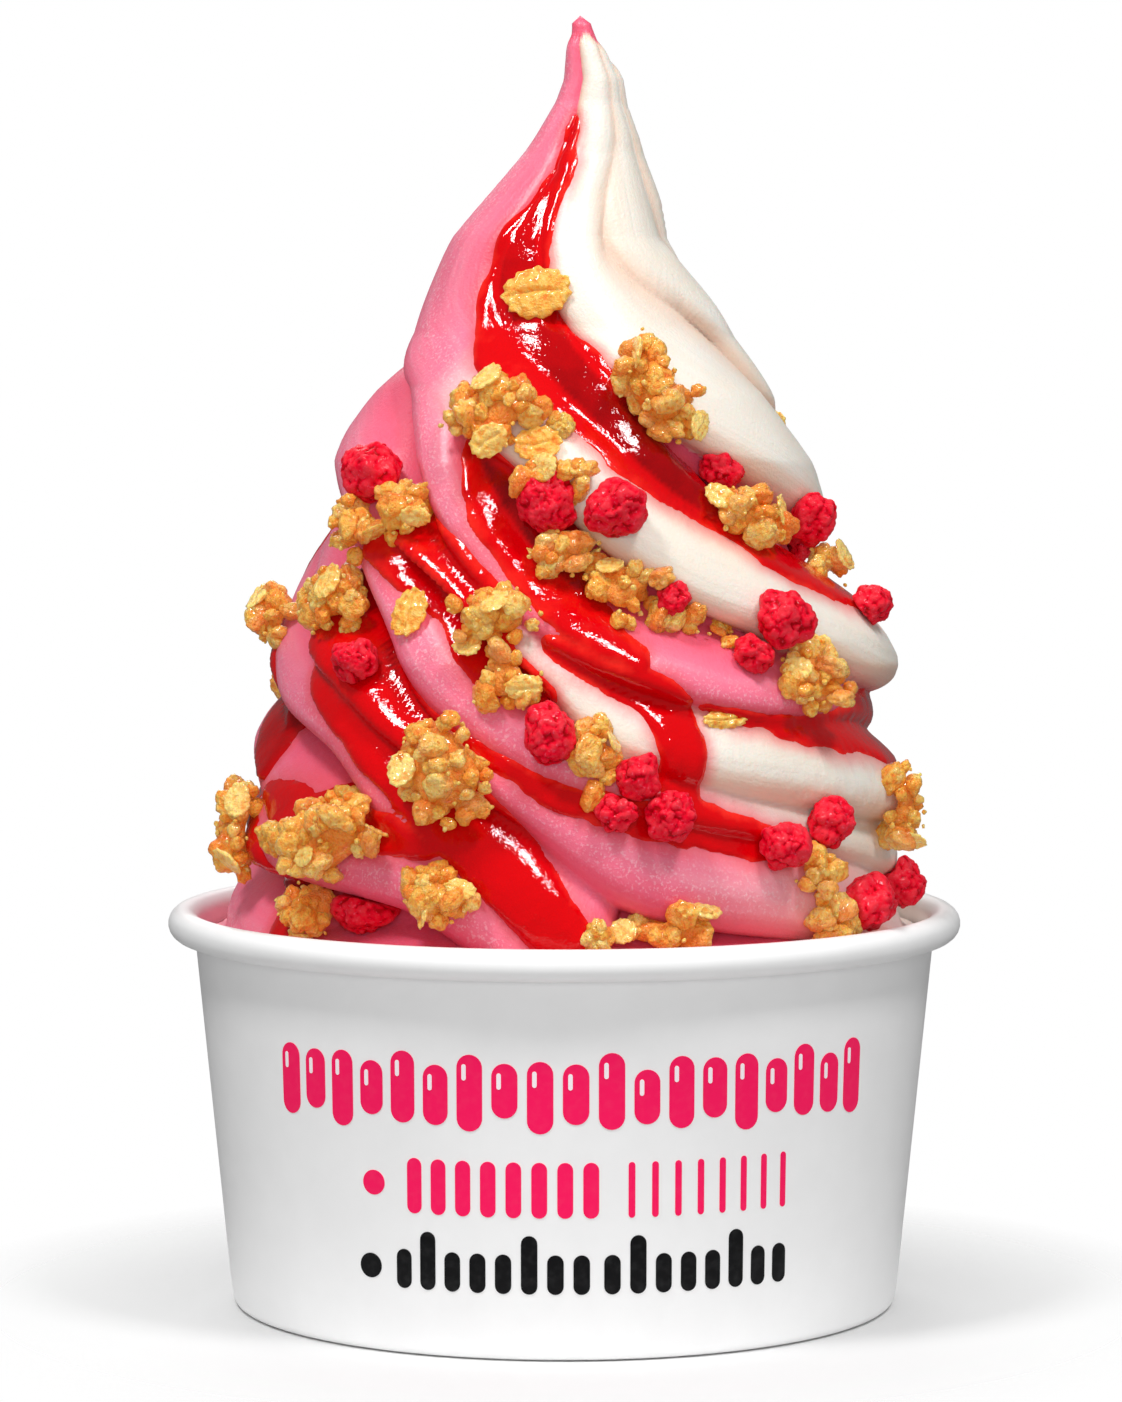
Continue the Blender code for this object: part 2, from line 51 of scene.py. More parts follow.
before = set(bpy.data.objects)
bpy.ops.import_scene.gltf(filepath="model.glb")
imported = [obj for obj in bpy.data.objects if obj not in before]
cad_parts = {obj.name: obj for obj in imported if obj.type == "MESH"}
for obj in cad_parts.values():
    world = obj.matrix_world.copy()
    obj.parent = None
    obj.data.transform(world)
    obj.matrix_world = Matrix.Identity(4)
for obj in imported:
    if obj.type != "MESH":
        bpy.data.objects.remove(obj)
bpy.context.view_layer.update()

MM = 0.001
WELD = 0.002 * MM               # points closer than this are one point
BODY = "root"
FRONT = 270.0                   # the azimuth that faces the camera, degrees

# The tub, mm. Its height and its rim are read from the frame.
_, TUB_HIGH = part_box("paper_cup")
TUB_H = round(TUB_HIGH.z / MM, 1)
RIM_R = round(TUB_HIGH.x / MM, 1)
RIM_ROLL = 2.2
FOOT_D = 93.9
TUB_UNDER_RIM_D = 104.2
WALL_T = 0.7
FOOT_RECESS = 6.0
FOOT_RING_T = 2.4
FOOT_ROUND = 1.2
FOOT_STEPS = 6
RING_ROUND = 0.5                # of the foot ring's inner edge
RING_STEPS = 3
BASE_ROUND = 0.6                # where the recessed base meets the foot ring
ROLL_START, ROLL_END = 180, -128        # the rolled rim's arc, degrees
ROLL_MEETS_WALL = 1.35 * RIM_ROLL       # how far below the roll's middle
FLOOR_RINGS = (14.0, 30.0)      # radii that divide the flat floor
# Where the floor turns up into the wall: out and up from the corner, mm
FLOOR_CORNER = ((-1.4, 0.0), (-0.5, 0.25), (0.02, 1.2))
TUB_SEGMENTS = 192
SHARP_FOLD = math.radians(38.0)
SEAM_W = 7.0                    # the overlap of the tub's paper at the back
SEAM_T = 0.25                   # how far the overlap stands out
SEAM_EDGE_T = 0.02              # and how far on the side where it runs into the wall
SEAM_BACK = 0.4                 # how far it goes into the wall
SEAM_TO_RIM = 3.6 * RIM_ROLL
SEAM_TO_FOOT = FOOT_ROUND + 0.6
SEAM_GRID = (8, 12)

# The print on the tub, mm. Places round the wall are counted to the right from the front's middle.
PRINT_LIFT = 0.07
SHINE_LIFT = 0.11
PRINT_FILM = 0.16
PRINT_GRID = (20, 2)
PRINT_SHARP = math.radians(40.0)
SHINE = (1.0, 0.9, 0.94)
SHINE_SIZE = (0.6, 2.2)
SHINE_PLACE = (-0.75, -2.4)             # from the middle of a bar's top end
DOT_D = 3.4
TOP_BAND_Z = 36.4
TOP_BARS = 19
TOP_BAR_START, TOP_BAR_STEP = -41.3, 4.76
TOP_BAR_W = 3.5
TOP_BAR_LENGTHS = (9.8, 8.2, 10.4, 7.4)
TOP_BAR_SWAY = 0.5                      # how far the bars stand above and below the band's middle
TOP_BAR_SWAY_TURN = 2.1
MIDDLE_BAND_Z = 23.4
MIDDLE_DOT = -26.8
MIDDLE_BAR_LENGTH = 7.6
BOLD_BARS = (-20.6, 3.45, 2.1)          # place of the first, step and width
FINE_BARS = (9.0, 3.2, 0.9)
LOW_BAND_Z = 11.9
LOW_DOT = -27.4
LOW_BAR_STARTS = (-22.2, 6.4)
LOW_BAR_STEP = 3.5
LOW_BAR_W = 2.2
LOW_BAR_LENGTH = 5.4
TALLER_BY = 2.6                         # one bar in four stands up higher
BARS_IN_RUN = 8

# The swirl, mm, as its solid was worked out
TOTAL_H = 181.0
GAP = 0.3
FLOOR_Z = FOOT_RECESS + WALL_T + GAP
FILL_EDGE_Z = 50.0
FILL_SHOULDER_Z = 58.0
RIM_CLEARANCE = 0.8
RIM_CLEAR_TO_Z = 60.0
DROOP = math.radians(24.0)
FOLD_DEPTH_MAX = 9.5
FOLD_DEPTH_SHARE = 0.33
FOLD_OVERLAP = 1.16
FOLD_BLEND = 10.0
FOLD_SAMPLES = 260
FOLD_FADE = 3.0
FILL_WALL_ROWS = 4
FLOW_STRETCH = 0.06             # the streaks' pattern runs this much slower along a fold than across it
FLOW_APART = 9.0                # keeps the streaks of one fold unlike the next one's
UNDERSIDE_SHADE = (-0.25, 0.4)        # painted shade: how far a face looks down where it starts to darken, and is darkest

# Outline of the swirl over its fold crests: (height, radius)
CREST_OUTLINE = (
    (181.0, 0.0), (179.6, 1.9), (176.0, 3.0), (169.0, 4.6), (162.0, 7.8), (148.0, 15.8), (137.0, 21.6),
    (128.0, 28.4), (119.0, 33.4), (105.0, 38.0), (92.0, 42.6), (72.0, 45.6), (53.0, 47.9), (44.0, 48.9),
)
# Sideways lean of the swirl's middle: (height, x)
LEAN = (
    (181.0, 2.2), (172.0, 3.7), (164.0, 2.6), (150.0, -0.4), (137.0, 0.2), (95.0, 1.8), (70.0, 0.6),
    (53.0, 0.0),
)

# Each fold runs down from the tip through these stations: azimuth in degrees, counted on past a
# turn, height, half-width and how far it stands proud of the outline
FOLDS = {
    "front_left": ((212, 176, 1.6, 0), (208, 169, 3.2, 0), (204, 162, 5.2, 0.1), (199, 148, 9.2, 1.3),
                   (206, 140, 8.8, 1.2), (232, 131, 6.8, 0), (260, 122, 6.0, 0), (296, 105, 6.5, 0),
                   (318, 99.5, 6.8, 0.8), (342, 94.5, 7.2, 3.4), (380, 90, 6.8, 2.0), (450, 84, 6.5, 0),
                   (535, 80, 5.5, 0.4), (560, 73, 5.0, -1.0), (590, 66, 5.0, 0)),
    "front_right": ((285, 176, 1.6, 0), (289, 165, 3.1, 0.4), (277, 155, 4.2, 0), (277, 147, 4.8, 0),
                    (290, 138, 6.8, 0), (315, 129, 10.0, 0), (338, 122.5, 10.2, 0.6), (362, 116.5, 9.0, 0.6),
                    (420, 108.5, 6.5, 0), (525, 103, 6.0, 0), (558, 89, 5.6, 0), (582, 83, 5.6, 0),
                    (601, 72, 6.0, 0), (631, 57, 6.5, 0)),
    "right_outer": ((337, 175, 1.6, 0), (337, 165, 2.9, 0.4), (328, 156, 6.0, 0), (325, 149, 7.6, 0),
                    (340, 144, 6.2, 1.0), (357, 139, 5.8, 2.4), (372, 131, 6.8, 2.2), (400, 123, 6.0, 0.5),
                    (450, 117, 5.5, 0), (500, 112, 5.0, -2.0), (540, 105, 4.5, -3.0), (575, 93, 3.6, 0),
                    (605, 80, 2.8, 0), (622, 75, 5.0, 0), (645, 65, 7.7, 0.8), (675, 60, 7.3, 0.5),
                    (740, 50, 6.0, 0)),
    "right_back": ((363, 173, 1.5, 0.8), (364, 157, 3.6, 1.8), (366, 149, 4.4, 0.2), (420, 138, 5.5, 0),
                   (515, 126, 5.5, -1.5), (545, 122, 6.8, 0.2), (566, 116, 6.2, 0.2), (588, 102, 4.8, 0),
                   (606, 89, 5.9, 0), (628, 79, 5.0, 0), (668, 70, 3.5, -0.5), (720, 63, 5.5, 0),
                   (780, 57, 6.0, 0)),
    "back": ((60, 173, 2.0, 0), (58, 152, 4.0, 0), (110, 138, 5.0, 0), (160, 130, 4.5, -4.0),
             (200, 117, 3.0, -4.0), (235, 107, 2.2, 0), (262, 93, 2.8, 0), (280, 83, 5.4, 0),
             (309, 78, 6.3, 0.8), (342, 74.5, 6.3, 3.4), (380, 70, 6.3, 2.0), (500, 60, 5.8, 0),
             (575, 53, 5.5, 0)),
    "left_back": ((140, 172, 2.0, 0), (142, 152, 4.5, 0), (170, 141, 4.5, -4.0), (208, 134, 4.2, -3.0),
                  (228, 125.5, 4.8, 0), (241, 113.5, 4.6, 0), (267, 97, 4.3, 0), (302, 88, 4.4, 0),
                  (345, 84.5, 4.6, -3.0), (420, 78, 5.5, 0), (510, 72, 6.0, -1.0), (540, 69, 5.5, -2.2),
                  (566, 67, 5.8, 0.8), (600, 64, 6.3, 0), (624, 54, 6.0, 0)),
}
# How much of each fold is the cream flavour along its run: (azimuth, share)
FLAVOUR = {
    "front_left": ((215, 0), (228, 0), (241, 0.7), (252, 1), (480, 1), (530, 0), (600, 0)),
    "front_right": ((275, 1), (480, 1), (530, 0), (640, 0)),
    "right_outer": ((320, 1), (430, 1), (500, 0), (648, 0), (690, 0.6), (740, 1)),
    "right_back": ((350, 1), (410, 1), (480, 0), (628, 0), (675, 1), (780, 1)),
    "back": ((58, 1), (100, 1), (150, 0), (215, 0), (236, 0.8), (262, 1), (480, 1), (530, 0), (575, 0)),
    "left_back": ((140, 0), (624, 0)),
}

# The sauce runs down between the folds through these stations: azimuth, height and half-width
SAUCE_FILL = 0.55               # how much of the folds' depth the sauce fills
SAUCE_SAMPLES = 90
SAUCE_RUNS = {
    "top": ((254, 166, 0.6), (258, 159, 1.8), (253, 154, 2.3), (248, 148, 4.2), (246, 141, 4.9),
            (253, 134, 5.3), (272, 129, 4.9), (285, 121, 4.2), (295, 116, 3.7), (307, 111, 2.8),
            (322, 105, 2.5), (348, 100, 2.0)),
    "upper_left": ((245, 121, 1.8), (251, 115, 3.8), (259, 109, 4.6), (266, 103, 4.2), (273, 97, 2.8),
                   (281, 93, 1.7)),
    "middle_left": ((223, 108, 2.5), (237, 106, 5.1), (248, 100, 5.3), (254, 93, 3.9), (264, 88, 2.3)),
    "middle": ((265, 95, 1.7), (276, 91, 2.8), (286, 87, 3.5), (289.5, 80, 3.2), (289.5, 74, 3.1),
               (297, 70, 3.0), (315, 67, 1.7)),
    "right_valley": ((295, 86, 1.1), (308, 84, 1.4), (327, 82, 2.2), (344, 82, 4.0), (360, 81, 4.4),
                     (400, 77, 2.4)),
    "big_left": ((213, 102, 2.0), (214, 94, 4.5), (229, 86, 5.6), (244, 78, 6.0), (251, 72, 5.4),
                 (260, 65, 4.4), (269, 57, 4.2)),
    "low_middle": ((251, 81, 1.6), (260, 78.5, 1.5), (269, 75, 1.9), (280, 73, 2.3), (290, 71, 2.8)),
    "low_left": ((200, 73, 1.6), (208, 72, 2.3), (220, 70.5, 2.7), (237, 69.5, 2.9), (246, 68, 1.7)),
    "left_drip": ((150, 99, 4.0), (168, 95, 5.4), (181, 90, 6.0), (188, 84, 5.2), (193, 79, 3.4),
                  (196, 76, 2.0)),
    "foot_left": ((180, 72, 1.6), (196, 69, 2.0), (205, 64, 2.5), (211, 58, 2.8), (215, 54, 2.8)),
    "back_high": ((20, 150, 1.5), (40, 138, 3.0), (75, 128, 4.0), (95, 118, 4.0), (120, 112, 2.5)),
    "back_middle": ((60, 102, 2.5), (85, 98, 4.5), (105, 90, 4.5), (115, 80, 3.5), (135, 74, 2.0)),
    "back_low": ((20, 84, 2.0), (45, 77, 3.5), (60, 69, 3.5), (75, 61, 3.0)),
    "back_left": ((120, 128, 2.0), (145, 118, 3.0), (160, 110, 4.0), (165, 102, 3.0)),
}
SAUCE_DIP = 0.9                 # how far past its edge the sauce's mesh goes on, under the yogurt
SAUCE_DIP_MOST = 2.0
SAUCE_EDGE_SLOPE = 1.1          # how steeply its edge dives under the yogurt
SAUCE_BACK = 0.9                # the wall behind its skin
SAUCE_EDGE_REACH = 3.0          # how far from its edge the edge's waves are worked out
# Waves of the sauce's edge and of its skin: height, size and seed
SAUCE_EDGE_WAVES = ((0.55, 4.2, 1.0), (0.25, 1.7, 2.0))
SAUCE_SKIN_WAVES = ((0.3, 5.0, 8.0), (0.12, 1.8, 9.0))
SAUCE_STAIN = 0.75              # how far the sauce colours the yogurt under it
SAUCE_STAIN_EDGE = (-2.2, 0.6)
SAUCE_DEEP = 4.0                # thickness at which the sauce looks darkest
SAUCE_VALLEY_SHADE = 0.15        # painted shade: how much darker it is at the bottom of a valley
SAUCE_PALER = 0.45              # how much brighter it is high up
SAUCE_PALER_Z = (85.0, 115.0)   # heights over which it gets brighter
SAUCE_LEFT_SHADE = 0.45             # painted shade: how much darker it is on the left side
SAUCE_DARK_SIDE = 226.0         # azimuth at which it starts to darken towards the left
SAUCE_DARK_TURN = 28.0          # degrees over which it darkens
STREAK_DEPTH = 0.13             # fine lines along the folds
UNEVENNESS = 0.15               # of the folds' surface, from place to place

# Small loose pieces that lie between the toppings: azimuth, height, width and tallness
LOOSE_BITS = (
    (269, 124, 4.8, 4.2), (341, 104, 3.9, 4.2), (307, 97, 3.7, 3.4), (219, 97, 4.2, 2.8), (212, 68, 6.2, 5.2),
    (226, 73, 6.5, 5.6), (275, 57, 5.6, 4.8), (303, 125, 6.8, 6.2), (342, 67, 4.8, 6.2), (98, 116, 5.0, 4.4),
    (52, 94, 4.6, 4.0), (132, 92, 5.2, 4.2), (20, 100, 4.4, 4.0), (62, 70, 5.2, 4.6), (160, 74, 4.6, 4.0),
)
# A thin oat that lies flat: azimuth, height, width and tallness
THIN_OAT = (300, 85, 7.0, 2.8)


# Colours


def srgb(red, green, blue):
    """A colour read as 0-255 display values, as linear numbers."""
    shown = (red / 255, green / 255, blue / 255)
    return tuple(((c + 0.055) / 1.055) ** 2.4 if c > 0.04045 else c / 12.92 for c in shown)


def scaled(colour, share):
    return tuple(share * c for c in colour)


# Shared tools


def deselect_all():
    if bpy.context.mode != "OBJECT":
        bpy.ops.object.mode_set(mode="OBJECT")
    bpy.ops.object.select_all(action="DESELECT")


def take_primitive(name):
    """Names the primitive just added and puts its place into its mesh."""
    obj = bpy.context.object
    obj.name = name
    obj.data.name = name
    bpy.ops.object.transform_apply(location=True, rotation=True, scale=True)
    return obj


def select(*objects):
    """Selects these objects alone, and makes the first one active."""
    deselect_all()
    for obj in objects:
        obj.select_set(True)
    bpy.context.view_layer.objects.active = objects[0]


def back_with_wall(obj, thickness):
    """Gives a sheet a wall of the thickness given, in mm, behind it."""
    wall = obj.modifiers.new("wall", "SOLIDIFY")
    wall.thickness = thickness * MM
    wall.offset = -1.0
    bpy.context.view_layer.objects.active = obj
    bpy.ops.object.modifier_apply(modifier=wall.name)


def weld_and_face_out(obj):
    """Merges doubled points and turns every face outwards."""
    select(obj)
    bpy.ops.object.mode_set(mode="EDIT")
    bpy.ops.mesh.select_all(action="SELECT")
    bpy.ops.mesh.remove_doubles(threshold=WELD)
    bpy.ops.mesh.normals_make_consistent(inside=False)
    bpy.ops.object.mode_set(mode="OBJECT")


def get_points(mesh):
    points = np.empty(len(mesh.vertices) * 3)
    mesh.vertices.foreach_get("co", points)
    return points.reshape(-1, 3)


def set_points(mesh, points):
    mesh.vertices.foreach_set("co", np.asarray(points, float).ravel())
    mesh.update()


def add_values(mesh, name, values):
    attribute = mesh.attributes.new(name, "FLOAT", "POINT")
    attribute.data.foreach_set("value", np.asarray(values, np.float32))


def add_vectors(mesh, name, vectors):
    attribute = mesh.attributes.new(name, "FLOAT_VECTOR", "POINT")
    attribute.data.foreach_set("vector", np.asarray(vectors, np.float32).ravel())


def smooth_noise(points, size, seed=0.0):
    """Blender's noise at each point, from about -1 to 1, with bumps of the size given."""
    shift = Vector((seed * 3.1, seed * 7.7, seed * 1.9))
    return np.array([noise.noise(Vector(p) / size + shift) for p in points])


def waves(points, layers):
    """Noise in layers, each with its height, size and seed."""
    return sum(height * smooth_noise(points, size, seed) for height, size, seed in layers)


def finish_piece(obj, slot, *nodes):
    """Puts a piece on the frame in place of its solids."""
    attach(obj, BODY)
    if nodes:
        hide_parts(*nodes)


def nodes_called(start):
    return sorted(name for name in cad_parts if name.startswith(start))


# Materials


class Finish:
    """A Principled material and short ways to add the nodes that drive it."""

    def __init__(self, name, **constants):
        self.material = bpy.data.materials.new(name)
        self.material.use_nodes = True
        self.tree = self.material.node_tree
        self.shader = self.tree.nodes["Principled BSDF"]
        for socket, value in constants.items():
            self.shader.inputs[socket.replace("_", " ")].default_value = value
        self.place = self.add("ShaderNodeTexCoord").outputs["Object"]

    def add(self, kind, **settings):
        node = self.tree.nodes.new(kind)
        for key, value in settings.items():
            setattr(node, key, value)
        return node

    def link(self, start, end):
        self.tree.links.new(start, end)

    def attribute(self, name, output="Fac"):
        return self.add("ShaderNodeAttribute", attribute_name=name).outputs[output]

    def speckle(self, size, detail=2.0, roughness=0.5, vector=None):
        """Noise with features of about the size given, in metres, or in the vector's own units."""
        node = self.add("ShaderNodeTexNoise")
        self.link(self.place if vector is None else vector, node.inputs["Vector"])
        node.inputs["Scale"].default_value = 1.0 / size
        node.inputs["Detail"].default_value = detail
        node.inputs["Roughness"].default_value = roughness
        return node.outputs["Fac"]

    def ramp(self, value, *stops):
        """Colours along a value: each stop is its place and a linear colour."""
        node = self.add("ShaderNodeValToRGB")
        self.link(value, node.inputs["Fac"])
        points = node.color_ramp.elements
        while len(points) < len(stops):
            points.new(1.0)
        for point, (place, colour) in zip(points, stops):
            point.position = place
            point.color = (*colour, 1.0)
        return node.outputs["Color"]

    def span(self, value, low, high, to_low=0.0, to_high=1.0):
        node = self.add("ShaderNodeMapRange", clamp=True)
        self.link(value, node.inputs["Value"])
        for socket, number in zip(("From Min", "From Max", "To Min", "To Max"), (low, high, to_low, to_high)):
            node.inputs[socket].default_value = number
        return node.outputs["Result"]

    def math(self, operation, first, second):
        node = self.add("ShaderNodeMath", operation=operation)
        for socket, value in zip(node.inputs, (first, second)):
            if isinstance(value, (int, float)):
                socket.default_value = value
            else:
                self.link(value, socket)
        return node.outputs["Value"]

    def mix(self, share, first, second):
        node = self.add("ShaderNodeMix", data_type="RGBA")
        wanted = ((node.inputs["Factor"], share), (node.inputs[6], first), (node.inputs[7], second))
        for socket, value in wanted:
            if isinstance(value, (int, float)):
                socket.default_value = value
            elif isinstance(value, tuple):
                socket.default_value = (*value, 1.0)
            else:
                self.link(value, socket)
        return node.outputs[2]

    def bump(self, height, distance, strength, over=None):
        node = self.add("ShaderNodeBump")
        self.link(height, node.inputs["Height"])
        node.inputs["Distance"].default_value = distance
        node.inputs["Strength"].default_value = strength
        if over is not None:
            self.link(over, node.inputs["Normal"])
        return node.outputs["Normal"]

    def drive(self, **sockets):
        for socket, output in sockets.items():
            self.link(output, self.shader.inputs[socket.replace("_", " ")])

    def give(self, obj):
        obj.data.materials.clear()
        obj.data.materials.append(self.material)


def coated_paper(look):
    """White food board: a thin satin coat over faintly mottled fibre."""
    finish = Finish("coated_paper", Coat_Weight=0.25, Coat_Roughness=0.3)
    mottle = finish.speckle(0.006, 3.0)
    white = tuple(look.paper)
    sway = finish.bump(finish.speckle(0.012, 2.0), 0.00025, 0.25)
    finish.drive(
        Base_Color=finish.ramp(mottle, (0.3, scaled(white, 0.975)), (0.7, white)),
        Roughness=finish.span(finish.speckle(0.0015, 2.0), 0.3, 0.7, 0.38, 0.48),
        Normal=finish.bump(finish.speckle(0.0006, 3.0, 0.6), 0.00002, 0.35, sway),
    )
    return finish


def printing_ink():
    """Ink on the board, a little uneven in its cover."""
    finish = Finish("printing_ink", Roughness=0.4, Specular_IOR_Level=0.2)
    ink = finish.attribute("ink", "Color")
    uneven = finish.span(finish.speckle(0.0011, 3.0), 0.45, 0.75, 0.0, 0.012)
    finish.drive(
        Base_Color=finish.mix(uneven, ink, (0.9, 0.9, 0.9)),
        Normal=finish.bump(finish.speckle(0.0005, 2.0), 0.00001, 0.3),
    )
    return finish


def soft_serve(look):
    """Two flavours of frozen yogurt, with streaks along the folds, frost on the crests with painted glints,
    and painted shade in the valleys and on faces that look down.
    """
    finish = Finish(
        "soft_serve", Subsurface_Weight=0.35, Subsurface_Scale=0.0022, Subsurface_Radius=(1.0, 0.5, 0.38),
        Coat_Weight=0.25, Coat_Roughness=0.25,
    )
    flow = finish.attribute("flow", "Vector")
    streaks = finish.speckle(1.4, 3.0, 0.55, flow)
    cloud = finish.speckle(0.014, 3.0)
    frost = finish.speckle(0.00042, 2.0, 0.6)
    crest = finish.attribute("crest")
    berry = tuple(look.berry_flavour)
    cream = tuple(look.cream_flavour)
    pale_berry = tuple(0.55 * c + 0.45 for c in berry)
    warm_cream = (cream[0] * 0.97, cream[1] * 0.92, cream[2] * 0.86)
    # Painted shade: strongest in the valleys between folds and on faces that look down
    painted_shade = finish.math("MAXIMUM", finish.span(crest, 0.05, 0.55, 1.0, 0.0), finish.attribute("under"))
    pink = finish.mix(finish.span(cloud, 0.35, 0.65), scaled(berry, 0.9), berry)
    pink = finish.mix(finish.span(streaks, 0.45, 0.75, 0.0, 0.18), pink, pale_berry)
    white = finish.mix(finish.span(cloud, 0.3, 0.7), warm_cream, cream)
    white = finish.mix(finish.span(streaks, 0.4, 0.7, 0.0, 0.5), white, warm_cream)
    # Painted highlight: lighter pink frost glints along the crests
    glint = finish.math("MULTIPLY", finish.span(frost, 0.54, 0.66), finish.span(crest, 0.4, 1.0, 0.0, 0.5))
    # Painted shade: the pink and the white yogurt take their shade colours there
    pink = finish.mix(finish.math("MULTIPLY", painted_shade, 0.6), pink, tuple(look.berry_shade))
    pink = finish.mix(glint, pink, (0.95, 0.66, 0.72))
    white = finish.mix(finish.math("MULTIPLY", painted_shade, 0.75), white, tuple(look.cream_shade))
    colour = finish.mix(finish.attribute("flavour"), pink, white)
    colour = finish.mix(finish.attribute("stain"), colour, tuple(look.stain))
    fine = finish.bump(frost, 0.00016, 0.55)
    finish.drive(
        Base_Color=colour,
        Roughness=finish.span(frost, 0.4, 0.7, 0.55, 0.32),
        Normal=finish.bump(streaks, 0.00035, 0.4, fine),
    )
    return finish


def glossy_sauce(look):
    """Berry sauce: clear and bright where thin, dark where it lies deep, with painted shade in the valleys
    and on the left side, wet all over.
    """
    finish = Finish(
        "glossy_sauce", Roughness=0.04, Subsurface_Weight=0.1, Subsurface_Scale=0.0015,
        Subsurface_Radius=(1.0, 0.08, 0.04), Coat_Weight=0.2, Coat_Roughness=0.03, Specular_IOR_Level=0.34,
    )
    depth = finish.attribute("depth")
    cloud = finish.span(finish.speckle(0.004, 3.0), 0.3, 0.7, -0.08, 0.08)
    colour = finish.ramp(
        finish.math("ADD", depth, cloud),
        (0.0, tuple(look.thin)), (0.16, tuple(look.sauce)), (0.4, tuple(look.sauce)), (1.0, tuple(look.deep)),
    )
    finish.drive(Base_Color=colour, Normal=finish.bump(finish.speckle(0.0019, 3.0, 0.62), 0.0004, 0.4))
    return finish


BERRY_DUST = srgb(246, 96, 124)


def berry_skin(look):
    """Freeze-dried berry: a matt crimson skin, dusted pink in places, with painted shade in its creases and a
    touch lighter on its cells.
    """
    finish = Finish(
        "berry_skin", Subsurface_Weight=0.1, Subsurface_Scale=0.0006, Subsurface_Radius=(1.0, 0.1, 0.12),
        Coat_Weight=0.15, Coat_Roughness=0.1, Specular_IOR_Level=0.06,
    )
    crease = finish.attribute("crease")
    fine = finish.speckle(0.0006, 4.0, 0.65)
    bright = tuple(look.berry)
    # Painted shade in the creases between the cells, and a painted highlight, a touch lighter, on their tops
    colour = finish.ramp(
        finish.math("ADD", crease, finish.span(fine, 0.35, 0.65, -0.15, 0.15)),
        (0.0, tuple(look.berry_crease_shade)), (0.5, bright), (1.0, tuple(0.94 * c + 0.03 for c in bright)),
    )
    dust = finish.span(finish.speckle(0.0004, 2.0), 0.6, 0.74, 0.0, 0.5)
    finish.drive(
        Base_Color=finish.mix(dust, colour, BERRY_DUST),
        Roughness=finish.span(fine, 0.35, 0.65, 0.62, 0.3),
        Normal=finish.bump(fine, 0.0003, 0.7),
    )
    return finish


def toasted_granola(look, name, crisp):
    """Baked oats and syrup: gold to brown from lump to lump, with painted shade between them and in the
    grain's pits, a glaze and a painted glow that stands in for the light that comes through. Crisp is how
    rough the grain is."""
    # Painted light: a small emission makes the granola glow faintly
    finish = Finish(
        name, Subsurface_Weight=0.5, Subsurface_Scale=0.0014, Subsurface_Radius=(1.0, 0.45, 0.12),
        Coat_Weight=0.7, Coat_Roughness=0.08, Emission_Strength=0.09,
    )
    tone = finish.attribute("tone")
    grain = finish.speckle(0.0009, 4.0, 0.6)
    patch = finish.speckle(0.0032, 2.0)
    shade = finish.math("ADD", tone, finish.span(grain, 0.35, 0.65, -0.36, 0.3))
    brown = tuple(look.granola_brown)
    deep = tuple(look.granola_crevice_shade)
    gold = tuple(look.granola_gold)
    colour = finish.ramp(shade, (0.0, brown), (0.45, gold), (1.0, tuple(look.granola_pale)))
    colour = finish.mix(finish.span(patch, 0.58, 0.75, 0.0, 0.35), colour, brown)
    # Painted shade in the pits of the grain's bumps
    colour = finish.mix(finish.span(grain, 0.3, 0.45, 0.45, 0.0), colour, deep)
    # Painted shade between the lumps, from the shade attribute
    colour = finish.mix(finish.attribute("shade"), colour, deep)
    coarse = finish.bump(grain, 0.0012 * crisp, 0.9)
    finish.drive(
        Base_Color=colour,
        # Painted light: the glow takes the granola's colour
        Emission_Color=colour,
        Roughness=finish.span(grain, 0.35, 0.65, 0.5, 0.26),
        Normal=finish.bump(finish.speckle(0.0004, 2.0), 0.0004 * crisp, 0.9, coarse),
    )
    return finish


# The swirl's mathematics


def smooth_curve(knots, count):
    """Points along a smooth curve through rows of numbers, without overshoot between them."""
    knots = np.asarray(knots, float)
    steps = np.linalg.norm(np.diff(knots[:, :2] * (0.5, 1.0), axis=0), axis=1)
    along = np.concatenate([[0.0], np.cumsum(steps)])
    slope = np.diff(knots, axis=0) / steps[:, None]
    tangent = np.empty_like(knots)
    tangent[0] = slope[0]
    tangent[-1] = slope[-1]
    before = slope[:-1]
    after = slope[1:]
    same_way = before * after > 0
    total = np.where(same_way, before + after, 1.0)
    tangent[1:-1] = np.where(same_way, 2 * before * after / total, 0.0)
    at = np.linspace(0, along[-1], count)
    i = np.clip(np.searchsorted(along, at, side="right") - 1, 0, len(steps) - 1)
    u = ((at - along[i]) / steps[i])[:, None]
    step = steps[i][:, None]
    return (
        knots[i] * (2 * u**3 - 3 * u**2 + 1) + tangent[i] * step * (u**3 - 2 * u**2 + u)
        + knots[i + 1] * (3 * u**2 - 2 * u**3) + tangent[i + 1] * step * (u**3 - u**2)
    )


def read_table(table, z):
    """Linear reading of a (height, value) table that runs downwards."""
    heights, values = np.array(table[::-1], float).T
    return np.interp(z, heights, values)


def smoothstep(low, high, x):
    t = np.clip((x - low) / (high - low), 0.0, 1.0)
    return t * t * (3 - 2 * t)


def fold_depth(z):
    depth = np.minimum(FOLD_DEPTH_MAX, FOLD_DEPTH_SHARE * read_table(CREST_OUTLINE, z))
    return depth * smoothstep(FILL_EDGE_Z, FILL_SHOULDER_Z, z)


def tub_outer_radius(z):
    return (FOOT_D + (TUB_UNDER_RIM_D - FOOT_D) * z / (TUB_H - 2 * RIM_ROLL)) / 2


